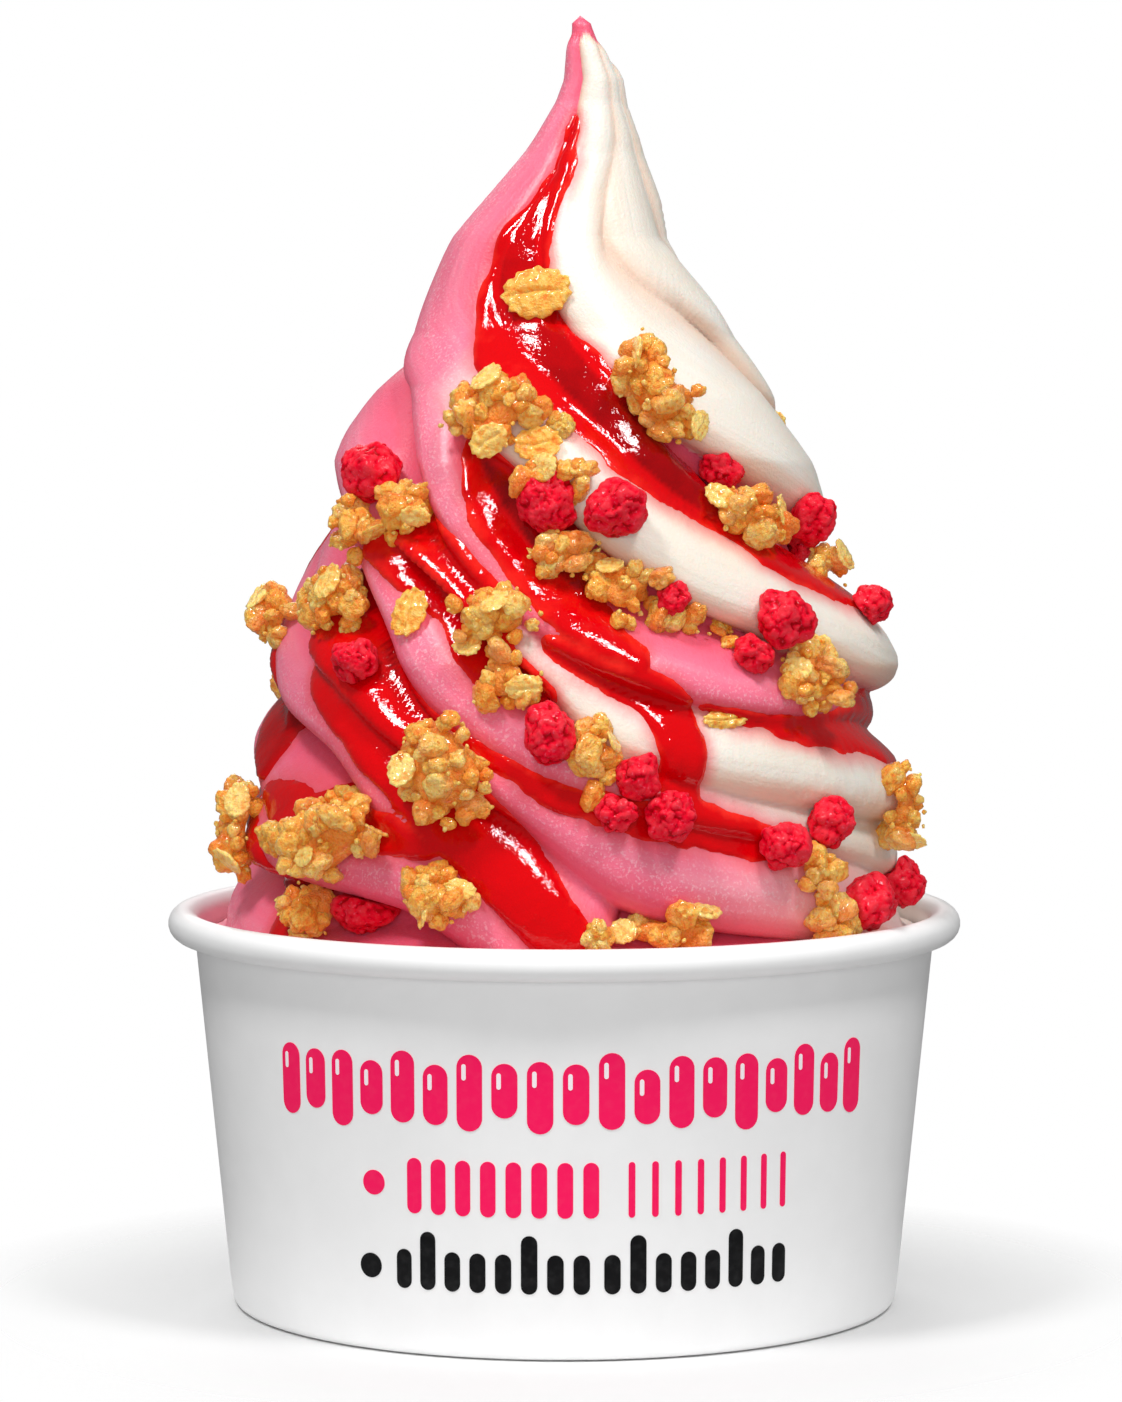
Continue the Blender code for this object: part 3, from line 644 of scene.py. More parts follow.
def core_radius(z):
    """Radius at the bottom of the folds; below the shoulder the filling widens to the tub's wall."""
    crest_z = z - fold_depth(z) * math.sin(DROOP)
    swirl = read_table(CREST_OUTLINE, crest_z) - fold_depth(z) * math.cos(DROOP)
    filling = tub_outer_radius(z) - WALL_T - GAP
    share = smoothstep(FILL_EDGE_Z, FILL_SHOULDER_Z, z)
    return filling + (swirl - filling) * share


def near_path(azimuth, height, knots, samples):
    """For each place, how far off a path it lies as a share of the half-width there, on which side,
    how far down the path in mm, and the nearest row of the path."""
    path = smooth_curve(knots, samples)
    scale = math.radians(1) * read_table(CREST_OUTLINE, height)
    path_scale = math.radians(1) * read_table(CREST_OUTLINE, path[:, 1])
    steps = np.gradient(path[:, :2], axis=0) * np.stack([path_scale, np.ones(samples)], axis=1)
    along = np.concatenate([[0.0], np.cumsum(np.hypot(*steps[1:].T))])
    sag = fold_depth(path[:, 1]) * math.sin(DROOP)
    least = np.full(azimuth.shape, np.inf)
    side = np.zeros(azimuth.shape)
    nearest = np.zeros(azimuth.shape, int)
    for i, row in enumerate(path):
        up = height - (row[1] + sag[i])
        across = scale * ((azimuth - row[0] + 180.0) % 360.0 - 180.0)
        share = np.hypot(across, up) / row[2]
        nearer = share < least
        least[nearer] = share[nearer]
        side[nearer] = (steps[i, 0] * up - steps[i, 1] * across)[nearer]
        nearest[nearer] = i
    return least, np.sign(side), along[nearest], path[nearest]


class SwirlField:
    """The swirl as rows that run down from the tip and columns that turn once round it, mm."""

    def __init__(self, columns, rows):
        heights = np.linspace(TOTAL_H, FILL_EDGE_Z, rows)
        core = core_radius(heights)
        core[0] = 0.0
        wall = np.linspace(FILL_EDGE_Z, FLOOR_Z, FILL_WALL_ROWS + 1)[1:]
        heights = np.concatenate([heights, wall, [FLOOR_Z, FLOOR_Z]])
        core = np.concatenate([core, core_radius(wall), [core_radius(FLOOR_Z) / 2, 0.0]])
        self.columns = columns
        self.rows = len(heights)
        turn = np.linspace(0.0, 360.0, columns + 1)
        self.height = np.repeat(heights, columns + 1)
        self.core = np.repeat(core, columns + 1)
        self.azimuth = np.tile(turn, self.rows)
        self.folded = (self.height > FILL_EDGE_Z) & (self.core > 0.0)
        self.fade = smoothstep(FILL_EDGE_Z, FILL_EDGE_Z + FOLD_FADE, self.height)
        self.read_folds()
        self.read_sauce()

    def read_folds(self):
        """Depth of the folds over the core, and on them the flavour, the crests and the flow."""
        at = self.folded
        azimuth = self.azimuth[at]
        height = self.height[at]
        depth = fold_depth(height)
        total = np.zeros(azimuth.shape)
        cream = np.zeros(azimuth.shape)
        best = np.zeros(azimuth.shape)
        crest = np.zeros(azimuth.shape)
        flow = np.zeros((len(azimuth), 3))
        for number, (name, knots) in enumerate(FOLDS.items()):
            share, side, along, row = near_path(azimuth, height, knots, FOLD_SAMPLES)
            ridge = np.sqrt(1 - np.minimum(share / FOLD_OVERLAP, 1.0) ** 2)
            weight = (ridge * (depth + row[:, 3])) ** FOLD_BLEND
            where, whiteness = np.array(FLAVOUR[name], float).T
            total += weight
            cream += weight * np.interp(row[:, 0], where, whiteness)
            leading = weight > best
            best[leading] = weight[leading]
            crest[leading] = 1 - np.minimum(share[leading], 1.0)
            offset = side * share * row[:, 2]
            apart = np.full(len(along), number * FLOW_APART)
            flow[leading] = np.stack([along * FLOW_STRETCH, offset, apart], axis=1)[leading]
        self.relief = np.zeros(self.height.shape)
        self.relief[at] = total ** (1 / FOLD_BLEND)
        self.cream = np.zeros(self.height.shape)
        self.cream[at] = cream / np.maximum(total, 1e-60)
        self.crest = np.zeros(self.height.shape)
        self.crest[at] = crest
        self.flow = np.zeros((len(self.height), 3))
        self.flow[at] = flow
        self.relief[at] += STREAK_DEPTH * smooth_noise(flow, size=1.3) * smoothstep(0.0, 6.0, depth)
        self.relief[at] += UNEVENNESS * smooth_noise(self.place(self.relief)[at], size=9.0, seed=4.0)

    def read_sauce(self):
        """How far inside the sauce's edge each place is, less than nothing outside it."""
        at = self.folded
        inside = np.full(at.sum(), -np.inf)
        for knots in SAUCE_RUNS.values():
            share, _, _, row = near_path(self.azimuth[at], self.height[at], knots, SAUCE_SAMPLES)
            inside = np.maximum(inside, (1 - share) * row[:, 2])
        self.inside = np.full(self.height.shape, -np.inf)
        self.inside[at] = inside
        near = self.inside > -SAUCE_EDGE_REACH
        self.inside[near] += waves(self.place(self.relief)[near], SAUCE_EDGE_WAVES)

    def place(self, out):
        """Points of the surface that stands this far out from the core, along the droop."""
        out = np.where(self.folded, out * self.fade, 0.0)
        limit = np.where(self.height < RIM_CLEAR_TO_Z, RIM_R - 2 * RIM_ROLL - RIM_CLEARANCE, np.inf)
        radius = np.where(self.folded, np.minimum(self.core + out * math.cos(DROOP), limit), self.core)
        height = self.height - out * math.sin(DROOP)
        turn = np.radians(self.azimuth)
        x = radius * np.cos(turn) + read_table(LEAN, height)
        return np.stack([x, radius * np.sin(turn), height], axis=1)

    def add_grid(self, name):
        """A grid primitive with one vertex for each place, and the index of its place for each vertex."""
        deselect_all()
        bpy.ops.mesh.primitive_grid_add(x_subdivisions=self.columns, y_subdivisions=self.rows - 1, size=1.0)
        grid = take_primitive(name)
        flat = get_points(grid.data)
        column = np.rint((flat[:, 0] + 0.5) * self.columns).astype(int)
        row = np.rint((0.5 - flat[:, 1]) * (self.rows - 1)).astype(int)
        return grid, row * (self.columns + 1) + column


FIELDS = {}


def swirl_field(look):
    """The swirl's field, worked out once for each resolution."""
    key = (look.columns, look.rows)
    if key not in FIELDS:
        FIELDS[key] = SwirlField(*key)
    return FIELDS[key]


# Lumps and clusters


def ball_template(subdivisions):
    """Points, triangles and edges of an icosphere of radius 1."""
    deselect_all()
    bpy.ops.mesh.primitive_ico_sphere_add(subdivisions=subdivisions, radius=1.0)
    ball = bpy.context.object
    mesh = ball.data
    points = get_points(mesh)
    faces = np.array([tuple(p.vertices) for p in mesh.polygons])
    edges = np.array([tuple(e.vertices) for e in mesh.edges])
    bpy.data.objects.remove(ball)
    bpy.data.meshes.remove(mesh)
    return points, faces, edges


class Solid:
    """A node's solid in mm, to be measured and sampled."""

    def __init__(self, node):
        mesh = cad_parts[node].data
        mesh.calc_loop_triangles()
        self.points = get_points(mesh) / MM
        self.faces = np.array([tuple(t.vertices) for t in mesh.loop_triangles])
        corners = self.points[self.faces]
        cross = np.cross(corners[:, 1] - corners[:, 0], corners[:, 2] - corners[:, 0])
        self.area = np.linalg.norm(cross, axis=1) / 2
        self.normal = cross / np.maximum(2 * self.area, 1e-9)[:, None]
        self.middle = (corners.mean(axis=1) * self.area[:, None]).sum(axis=0) / self.area.sum()
        self.tree = BVHTree.FromPolygons(self.points.tolist(), self.faces.tolist())

    def reach(self, directions, edges, evened):
        """Distance from the middle to the skin along each direction, evened out between neighbours."""
        middle = Vector(self.middle)
        reach = np.empty(len(directions))
        for i, direction in enumerate(directions):
            spot, _, _, distance = self.tree.ray_cast(middle, Vector(direction))
            reach[i] = distance if spot else np.nan
        reach = np.where(np.isnan(reach), np.nanmean(reach), reach)
        count = np.bincount(edges.ravel(), minlength=len(reach))
        for _ in range(evened):
            total = np.bincount(edges[:, 0], reach[edges[:, 1]], len(reach))
            total += np.bincount(edges[:, 1], reach[edges[:, 0]], len(reach))
            reach = 0.5 * reach + 0.5 * total / count
        return reach

    def seats(self, rng, spacing, tries):
        """Places on the skin that keep their distance from each other, with the way out at each."""
        corners = self.points[self.faces]
        chosen = rng.choice(len(self.faces), tries, p=self.area / self.area.sum())
        a, b = rng.random((2, tries, 1))
        flip = a + b > 1
        a = np.where(flip, 1 - a, a)
        b = np.where(flip, 1 - b, b)
        picked = corners[chosen]
        spots = picked[:, 0] + a * (picked[:, 1] - picked[:, 0]) + b * (picked[:, 2] - picked[:, 0])
        kept = []
        for i in range(tries):
            if all(np.linalg.norm(spots[i] - spots[j]) > spacing for j in kept):
                kept.append(i)
        return spots[kept], self.normal[chosen[kept]]


class Heap:
    """Collects the points, triangles and values of many small shapes, which become one mesh."""

    def __init__(self, *value_names):
        self.points = []
        self.faces = []
        self.values = {name: [] for name in value_names}
        self.count = 0

    def add(self, points, faces, **values):
        self.points.append(points)
        self.faces.append(faces + self.count)
        self.count += len(points)
        for name, value in values.items():
            self.values[name].append(np.broadcast_to(value, len(points)))

    def to_object(self, name):
        mesh = bpy.data.meshes.new(name)
        mesh.from_pydata(np.concatenate(self.points) * MM, [], np.concatenate(self.faces))
        mesh.update()
        for value_name, chunks in self.values.items():
            add_values(mesh, value_name, np.concatenate(chunks))
        mesh.shade_smooth()
        obj = bpy.data.objects.new(name, mesh)
        bpy.context.scene.collection.objects.link(obj)
        return obj


def random_turn(rng):
    """A rotation matrix, all ways alike."""
    return np.array(Quaternion(rng.normal(size=4)).normalized().to_matrix())


def axes_from(along, out):
    """A rotation matrix with its X along one way and its Z along the way out."""
    return np.stack([along, np.cross(out, along), out], axis=1)


def facing(out, rng):
    """A rotation matrix whose Z runs along the way out, turned at random about it."""
    out = out / np.linalg.norm(out)
    guess = rng.normal(size=3)
    along = np.cross(guess, out)
    along /= np.linalg.norm(along)
    return axes_from(along, out)


def pick(shapes, rng, size, out=None, tilt=0.0):
    """One of the shapes, turned all ways, or lying on the skin with a random tilt."""
    shape = shapes[rng.integers(len(shapes))]
    if out is None:
        turn = random_turn(rng)
    else:
        turn = facing(out + rng.normal(scale=tilt, size=3), rng)
    return shape @ turn.T * size


CELL_JITTER = 0.64              # how far the cells stray from even places
CELL_WIDE = 2.5
CELL_SIZES = (0.75, 1.15)
CELL_LIFTS = (-0.35, 0.25)
CELL_WARP = 0.16
CELL_WARP_SIZE = 0.45
CELL_TOP = 1.25


def drupelets(directions, rng, count, seed):
    """Height of a berry's small round cells over its skin, and 0 in the creases between them."""
    index = np.arange(count) + 0.5
    z = 1 - 2 * index / count
    turn = index * math.pi * (3 - math.sqrt(5))
    ring = np.sqrt(1 - z * z)
    centres = np.stack([ring * np.cos(turn), ring * np.sin(turn), z], axis=1)
    centres += rng.normal(scale=CELL_JITTER / math.sqrt(count), size=centres.shape)
    centres /= np.linalg.norm(centres, axis=1)[:, None]
    sizes = CELL_WIDE / math.sqrt(count) * rng.uniform(*CELL_SIZES, count)
    lifts = rng.uniform(*CELL_LIFTS, count)
    warp = np.stack([smooth_noise(directions, CELL_WARP_SIZE, seed + k) for k in range(3)], axis=1)
    warped = directions + CELL_WARP * warp
    height = np.full(len(directions), -1.0)
    for centre, size, lift in zip(centres, sizes, lifts):
        away = np.linalg.norm(warped - centre, axis=1) / size
        height = np.maximum(height, np.sqrt(np.clip(1 - away**2, 0, 1)) + lift * (away < 1))
    return np.clip(height, 0.0, CELL_TOP)


def nodule_shapes(template, rng, count):
    """Irregular little lumps of about radius 1."""
    points = template[0]
    shapes = []
    for k in range(count):
        coarse = smooth_noise(points, size=0.75, seed=11.0 + k)
        fine = smooth_noise(points, size=0.3, seed=31.0 + k)
        radius = 1 + 0.34 * coarse + 0.2 * fine
        squash = np.array([1.0, rng.uniform(0.72, 1.0), rng.uniform(0.6, 0.9)])
        shapes.append(points * radius[:, None] * squash)
    return shapes


def rough_shapes(template, rng, count):
    """Chunks of baked oats of about radius 1, flattish and covered in little round grains."""
    points = template[0]
    shapes = []
    for k in range(count):
        coarse = smooth_noise(points, size=0.8, seed=61.0 + k)
        grains = drupelets(points, rng, count=70, seed=70.0 + k)
        fine = smooth_noise(points, size=0.14, seed=91.0 + k)
        radius = 0.9 + 0.32 * coarse + 0.12 * grains + 0.06 * fine
        shapes.append(points * radius[:, None] * (1.0, rng.uniform(0.75, 1.0), rng.uniform(0.5, 0.7)))
    return shapes


FLAKE_CREASE = 0.14
FLAKE_THICK = 0.2
FLAKE_WIDE = 0.76


def flake_shape(template, seed):
    """A rolled oat of half-length 1: a thin oval with a crease along it and a frilled edge."""
    x, y, z = template[0].T
    turn = np.arctan2(y, x)
    rim = np.hypot(x, y)
    frill = 0.045 * np.sin(11 * turn + seed) + 0.03 * np.sin(19 * turn + 2 * seed)
    swell = 1 + frill * rim**2 + 0.09 * smooth_noise(template[0], 0.9, seed)
    px = x * swell
    py = FLAKE_WIDE * y * swell
    groove = FLAKE_CREASE * np.exp(-((py + 0.06 * np.sin(3 * px + seed)) / 0.07) ** 2) * (1 - rim**4)
    ribs = 0.035 * np.sin(13 * px + 5 * np.abs(py) + seed) * np.clip(rim * 1.4, 0, 1) * (1 - rim**6)
    dome = 0.1 * (1 - rim**2)
    bend = 0.12 * (px**2 - 0.35) + 0.08 * smooth_noise(template[0], 0.6, seed + 5.0)
    pz = FLAKE_THICK * np.sign(z) * np.abs(z) ** 0.6 * 0.6 + bend
    pz += np.where(z > 0, dome - groove + ribs, -0.3 * dome)
    return np.stack([px, py, pz], axis=1)


def tree_of(obj):
    mesh = obj.data
    points = [v.co / MM for v in mesh.vertices]
    return BVHTree.FromPolygons(points, [tuple(p.vertices) for p in mesh.polygons])


def spot_on(tree, azimuth, height):
    """Where a level line from outside first meets the surface, and the way out there, mm."""
    turn = math.radians(azimuth)
    outward = Vector((math.cos(turn), math.sin(turn), 0.0))
    spot, normal, _, _ = tree.ray_cast(outward * 2 * RIM_R + Vector((0.0, 0.0, height)), -outward)
    if spot is None:
        raise RuntimeError(f"no surface at azimuth {azimuth}, height {height}")
    return np.array(spot), np.array((normal + outward).normalized())


SEAT_CLEARANCE = 0.9
SEAT_FACES_IN = -0.2


def buried(tree, spot, out):
    """True if a place on a solid's skin faces the yogurt from close by, or is under its surface."""
    near, normal, _, distance = tree.find_nearest(Vector(spot))
    below = (Vector(spot) - near).dot(normal) < 0
    return below or (distance < SEAT_CLEARANCE and Vector(out).dot(normal) < SEAT_FACES_IN)


# The tub's paper


def tub_profile(look):
    """The board's outline from the middle of the floor, over the rolled rim, to the underside."""
    rim_r = RIM_R - RIM_ROLL
    rim_z = TUB_H - RIM_ROLL
    floor_z = FOOT_RECESS + WALL_T
    inner_foot = tub_outer_radius(floor_z) - WALL_T
    outer_foot = FOOT_D / 2
    points = [(radius, floor_z) for radius in FLOOR_RINGS]
    points += [(inner_foot + out, floor_z + up) for out, up in FLOOR_CORNER]
    for share in (0.2, 0.4, 0.6, 0.8, 1.0):
        z = floor_z + share * (rim_z - RIM_ROLL - floor_z)
        points.append((inner_foot + share * (rim_r - RIM_ROLL - inner_foot), z))
    points += round_points(rim_r, rim_z, RIM_ROLL, ROLL_START, ROLL_END, look.rim_steps)
    under = rim_z - 2 * RIM_ROLL
    for z in (rim_z - ROLL_MEETS_WALL, under, under * 0.75, under * 0.5, under * 0.25, under * 0.08):
        points.append((tub_outer_radius(z), z))
    points += round_points(outer_foot - FOOT_ROUND, FOOT_ROUND, FOOT_ROUND, 0, -90, FOOT_STEPS)
    inner_ring = outer_foot - FOOT_RING_T
    points += round_points(inner_ring + RING_ROUND, RING_ROUND, RING_ROUND, -90, -180, RING_STEPS)
    points += [(inner_ring, FOOT_RECESS - BASE_ROUND), (inner_ring - RING_ROUND, FOOT_RECESS)]
    points += [(radius, FOOT_RECESS) for radius in reversed(FLOOR_RINGS)]
    return points


def round_points(centre_r, centre_z, radius, start, end, steps):
    """Points on an arc, from one angle to another in degrees."""
    angles = np.radians(np.linspace(start, end, steps + 1))
    return [(centre_r + radius * math.cos(a), centre_z + radius * math.sin(a)) for a in angles]


def turn_by_rings(name, profile, segments):
    """Turns an outline into a body: a disc is extruded to ring after ring, each scaled to its radius."""
    deselect_all()
    radius, height = profile[0]
    bpy.ops.mesh.primitive_circle_add(
        vertices=segments, radius=radius * MM, fill_type="NGON", location=(0.0, 0.0, height * MM),
    )
    body = take_primitive(name)
    bpy.ops.object.mode_set(mode="EDIT")
    bpy.ops.mesh.select_all(action="SELECT")
    for next_radius, next_height in profile[1:]:
        step = (0.0, 0.0, (next_height - height) * MM)
        bpy.ops.mesh.extrude_region_move(TRANSFORM_OT_translate={"value": step})
        grow = next_radius / radius
        bpy.ops.transform.resize(value=(grow, grow, 1.0))
        radius, height = next_radius, next_height
    bpy.ops.object.mode_set(mode="OBJECT")
    weld_and_face_out(body)
    return body


def on_tub(across, height, lift):
    """A place on the tub's wall from mm round it, counted from the front, and its height."""
    radius = tub_outer_radius(height)
    turn = math.radians(FRONT) + across / radius
    return np.stack([(radius + lift) * np.cos(turn), (radius + lift) * np.sin(turn), height], axis=1)


def colour_property(name, description, default):
    return FloatVectorProperty(
        name=name, description=description, subtype="COLOR", default=default, min=0, max=1,
    )


def power_property(name, description, default):
    return FloatProperty(name=name, description=description, unit="POWER", default=default, min=0)


class YOGURTCUP_PG_tub(bpy.types.PropertyGroup):
    paper: colour_property("Paper", "Colour of the board", srgb(248, 248, 248))
    pink_ink: colour_property("Pink Ink", "Colour of the upper print", srgb(255, 20, 95))
    black_ink: colour_property("Black Ink", "Colour of the lowest print", srgb(12, 12, 14))
    rim_steps: IntProperty(
        name="Rim Steps", description="Steps round the rolled rim", default=18, min=6, max=48,
    )


class YOGURTCUP_PG_swirl(bpy.types.PropertyGroup):
    berry_flavour: colour_property("Berry Flavour", "Colour of the pink yogurt", srgb(247, 121, 150))
    cream_flavour: colour_property("Cream Flavour", "Colour of the white yogurt", srgb(237, 233, 225))
    # Painted shade: the colours the yogurt takes in the valleys between folds and on faces that look down
    berry_shade: colour_property(
        "Berry Valleys", "Colour of the pink yogurt deep between folds", srgb(236, 70, 104),
    )
    cream_shade: colour_property(
        "Cream Valleys", "Colour of the white yogurt deep between folds", srgb(236, 200, 176),
    )
    stain: colour_property("Stain", "Colour of yogurt that sauce has run into", srgb(232, 70, 84))
    columns: IntProperty(name="Columns", description="Steps round the swirl", default=412, min=60, max=600)
    rows: IntProperty(name="Rows", description="Steps down the swirl", default=226, min=60, max=400)


class YOGURTCUP_PG_sauce(bpy.types.PropertyGroup):
    sauce: colour_property("Sauce", "Colour of the sauce", srgb(210, 0, 8))
    thin: colour_property("Thin Edge", "Colour where the sauce is thin", srgb(240, 40, 30))
    # Darkest sauce colour: for thick sauce, and as painted shade in the valleys and on the left side
    deep: colour_property("Deep", "Colour where the sauce lies deep", srgb(140, 0, 5))
    thickness: FloatProperty(
        name="Thickness", description="Thickness of the sauce away from its edge", unit="LENGTH",
        default=0.0009, min=0.0002, max=0.003,
    )
    edge: FloatProperty(
        name="Edge", description="Width over which the sauce thins out", unit="LENGTH",
        default=0.0016, min=0.0004, max=0.005,
    )


class YOGURTCUP_PG_toppings(bpy.types.PropertyGroup):
    berry: colour_property("Berry", "Colour of the dried berries", srgb(234, 0, 40))
    # Painted shade: the colour in the creases between a berry's cells
    berry_crease_shade: colour_property("Berry Creases", "Colour between a berry's cells", srgb(170, 0, 10))
    granola_pale: colour_property("Pale Granola", "Colour of the palest oats", srgb(255, 216, 128))
    granola_gold: colour_property("Golden Granola", "Colour of most of the granola", srgb(255, 184, 74))
    granola_brown: colour_property("Brown Granola", "Colour of the most toasted granola", srgb(252, 144, 40))
    # Painted shade: the colour deep between the lumps and in the grain's pits
    granola_crevice_shade: colour_property("Granola Crevices", "Colour deep between the lumps", srgb(236, 100, 18))
    seed: IntProperty(name="Seed", description="Draw of the small shapes", default=5, min=0, max=999)


class YOGURTCUP_PG_stage(bpy.types.PropertyGroup):
    floor: colour_property("Floor", "Colour of the floor", (0.76, 0.76, 0.76))
    key: power_property("Key Light", "Power of the key light", 5.6)
    back: power_property("Back Light", "Power of the light behind", 3.0)
    front: power_property("Front Light", "Power of the light that only brightens the front", 3.4)
    sky: FloatProperty(
        name="Surround", description="Strength of the even light all round", default=0.39, min=0,
    )


class YOGURTCUP_OT_paper_tub(bpy.types.Operator):
    """Turns the paper tub with its rolled rim, recessed floor and back seam"""

    bl_idname = "yogurtcup.paper_tub"
    bl_label = "Paper Tub"
    bl_options = {"REGISTER", "UNDO"}

    def execute(self, context):
        look = context.scene.yogurt_tub
        tub = turn_by_rings("paper_tub", tub_profile(look), TUB_SEGMENTS)
        seam = self.back_seam()
        select(tub, seam)
        bpy.ops.object.join()
        bpy.ops.object.shade_smooth_by_angle(angle=SHARP_FOLD)
        coated_paper(look).give(tub)
        finish_piece(tub, "tub_paper", "paper_cup")
        return {"FINISHED"}

    def back_seam(self):
        """The strip where the wall's board overlaps itself."""
        low = SEAM_TO_FOOT
        high = TUB_H - SEAM_TO_RIM
        deselect_all()
        columns, rows = SEAM_GRID
        bpy.ops.mesh.primitive_grid_add(x_subdivisions=columns, y_subdivisions=rows, size=1.0)
        seam = take_primitive("tub_seam")
        across, up, _ = get_points(seam.data).T
        height = up * (high - low) + (high + low) / 2
        half_turn = math.pi * tub_outer_radius(height)
        lift = np.where(np.isclose(across, across.min()), SEAM_EDGE_T, SEAM_T)
        set_points(seam.data, on_tub(half_turn + across * SEAM_W, height, lift) * MM)
        back_with_wall(seam, SEAM_BACK)
        weld_and_face_out(seam)
        return seam


class YOGURTCUP_OT_tub_print(bpy.types.Operator):
    """Prints plain round-ended bars on the front of the tub, in three bands"""

    bl_idname = "yogurtcup.tub_print"
    bl_label = "Tub Print"
    bl_options = {"REGISTER", "UNDO"}

    def execute(self, context):
        look = context.scene.yogurt_tub
        pink = tuple(look.pink_ink)
        black = tuple(look.black_ink)
        strips = self.top_band(pink)
        strips.append(self.strip(MIDDLE_DOT, MIDDLE_BAND_Z, DOT_D, DOT_D, pink))
        for start, step, wide in (BOLD_BARS, FINE_BARS):
            for k in range(BARS_IN_RUN):
                strips.append(self.strip(start + k * step, MIDDLE_BAND_Z, wide, MIDDLE_BAR_LENGTH, pink))
        strips.append(self.strip(LOW_DOT, LOW_BAND_Z, DOT_D, DOT_D, black))
        for start in LOW_BAR_STARTS:
            for k in range(BARS_IN_RUN):
                above = TALLER_BY if k % 4 == 1 else 0.0
                height = LOW_BAND_Z + above / 2
                tall = LOW_BAR_LENGTH + above
                strips.append(self.strip(start + k * LOW_BAR_STEP, height, LOW_BAR_W, tall, black))
        select(*strips)
        bpy.ops.object.join()
        ink = strips[0]
        ink.name = "tub_print"
        ink.data.name = "tub_print"
        back_with_wall(ink, PRINT_FILM)
        ink.data.shade_smooth()
        ink.data.set_sharp_from_angle(angle=PRINT_SHARP)
        printing_ink().give(ink)
        finish_piece(ink, "print")
        return {"FINISHED"}

    def top_band(self, colour):
        """A row of bars of several lengths, each with a pale tick near its top."""
        strips = []
        for k in range(TOP_BARS):
            middle = TOP_BAR_START + k * TOP_BAR_STEP
            tall = TOP_BAR_LENGTHS[k % len(TOP_BAR_LENGTHS)]
            height = TOP_BAND_Z + TOP_BAR_SWAY * math.sin(k * TOP_BAR_SWAY_TURN)
            strips.append(self.strip(middle, height, TOP_BAR_W, tall, colour))
            aside, down = SHINE_PLACE
            shine = self.strip(middle + aside, height + tall / 2 + down, *SHINE_SIZE, SHINE, SHINE_LIFT)
            strips.append(shine)
        return strips

    def strip(self, middle, height, wide, tall, colour, lift=PRINT_LIFT):
        """A bar with round ends, laid on the wall along its longer side."""
        deselect_all()
        columns, rows = PRINT_GRID
        bpy.ops.mesh.primitive_grid_add(x_subdivisions=columns, y_subdivisions=rows, size=2.0)
        obj = take_primitive("bar")
        flat = get_points(obj.data)
        reach = max(wide, tall) / 2
        half = min(wide, tall) / 2
        along = np.sin(flat[:, 0] * math.pi / 2) * reach
        past = np.clip((np.abs(along) - (reach - half)) / half, 0.0, 1.0)
        aside = flat[:, 1] * half * np.sqrt(1 - past**2)
        across, up = (along, aside) if wide > tall else (-aside, along)
        set_points(obj.data, on_tub(middle + across, height + up, lift) * MM)
        layer = obj.data.color_attributes.new("ink", "FLOAT_COLOR", "POINT")
        layer.data.foreach_set("color", np.tile((*colour, 1.0), len(flat)))
        return obj


class YOGURTCUP_OT_swirl(bpy.types.Operator):
    """Builds the two-flavour soft-serve swirl and the filling under it"""

    bl_idname = "yogurtcup.swirl"
    bl_label = "Yogurt Swirl"
    bl_options = {"REGISTER", "UNDO"}

    def execute(self, context):
        look = context.scene.yogurt_swirl
        field = swirl_field(look)
        swirl, place = field.add_grid("swirl_yogurt")
        mesh = swirl.data
        set_points(mesh, field.place(field.relief)[place] * MM)
        add_values(mesh, "flavour", field.cream[place])
        add_values(mesh, "crest", field.crest[place])
        add_values(mesh, "stain", SAUCE_STAIN * smoothstep(*SAUCE_STAIN_EDGE, field.inside)[place])
        add_vectors(mesh, "flow", field.flow[place])
        weld_and_face_out(swirl)
        # Painted shade: faces that look down are marked for the material to darken
        normals = np.empty(len(mesh.vertices) * 3)
        mesh.vertices.foreach_get("normal", normals)
        add_values(mesh, "under", smoothstep(*UNDERSIDE_SHADE, -normals[2::3]))
        mesh.shade_smooth()
        soft_serve(look).give(swirl)
        finish_piece(swirl, "frozen_yogurt", "yogurt_swirl")
        return {"FINISHED"}


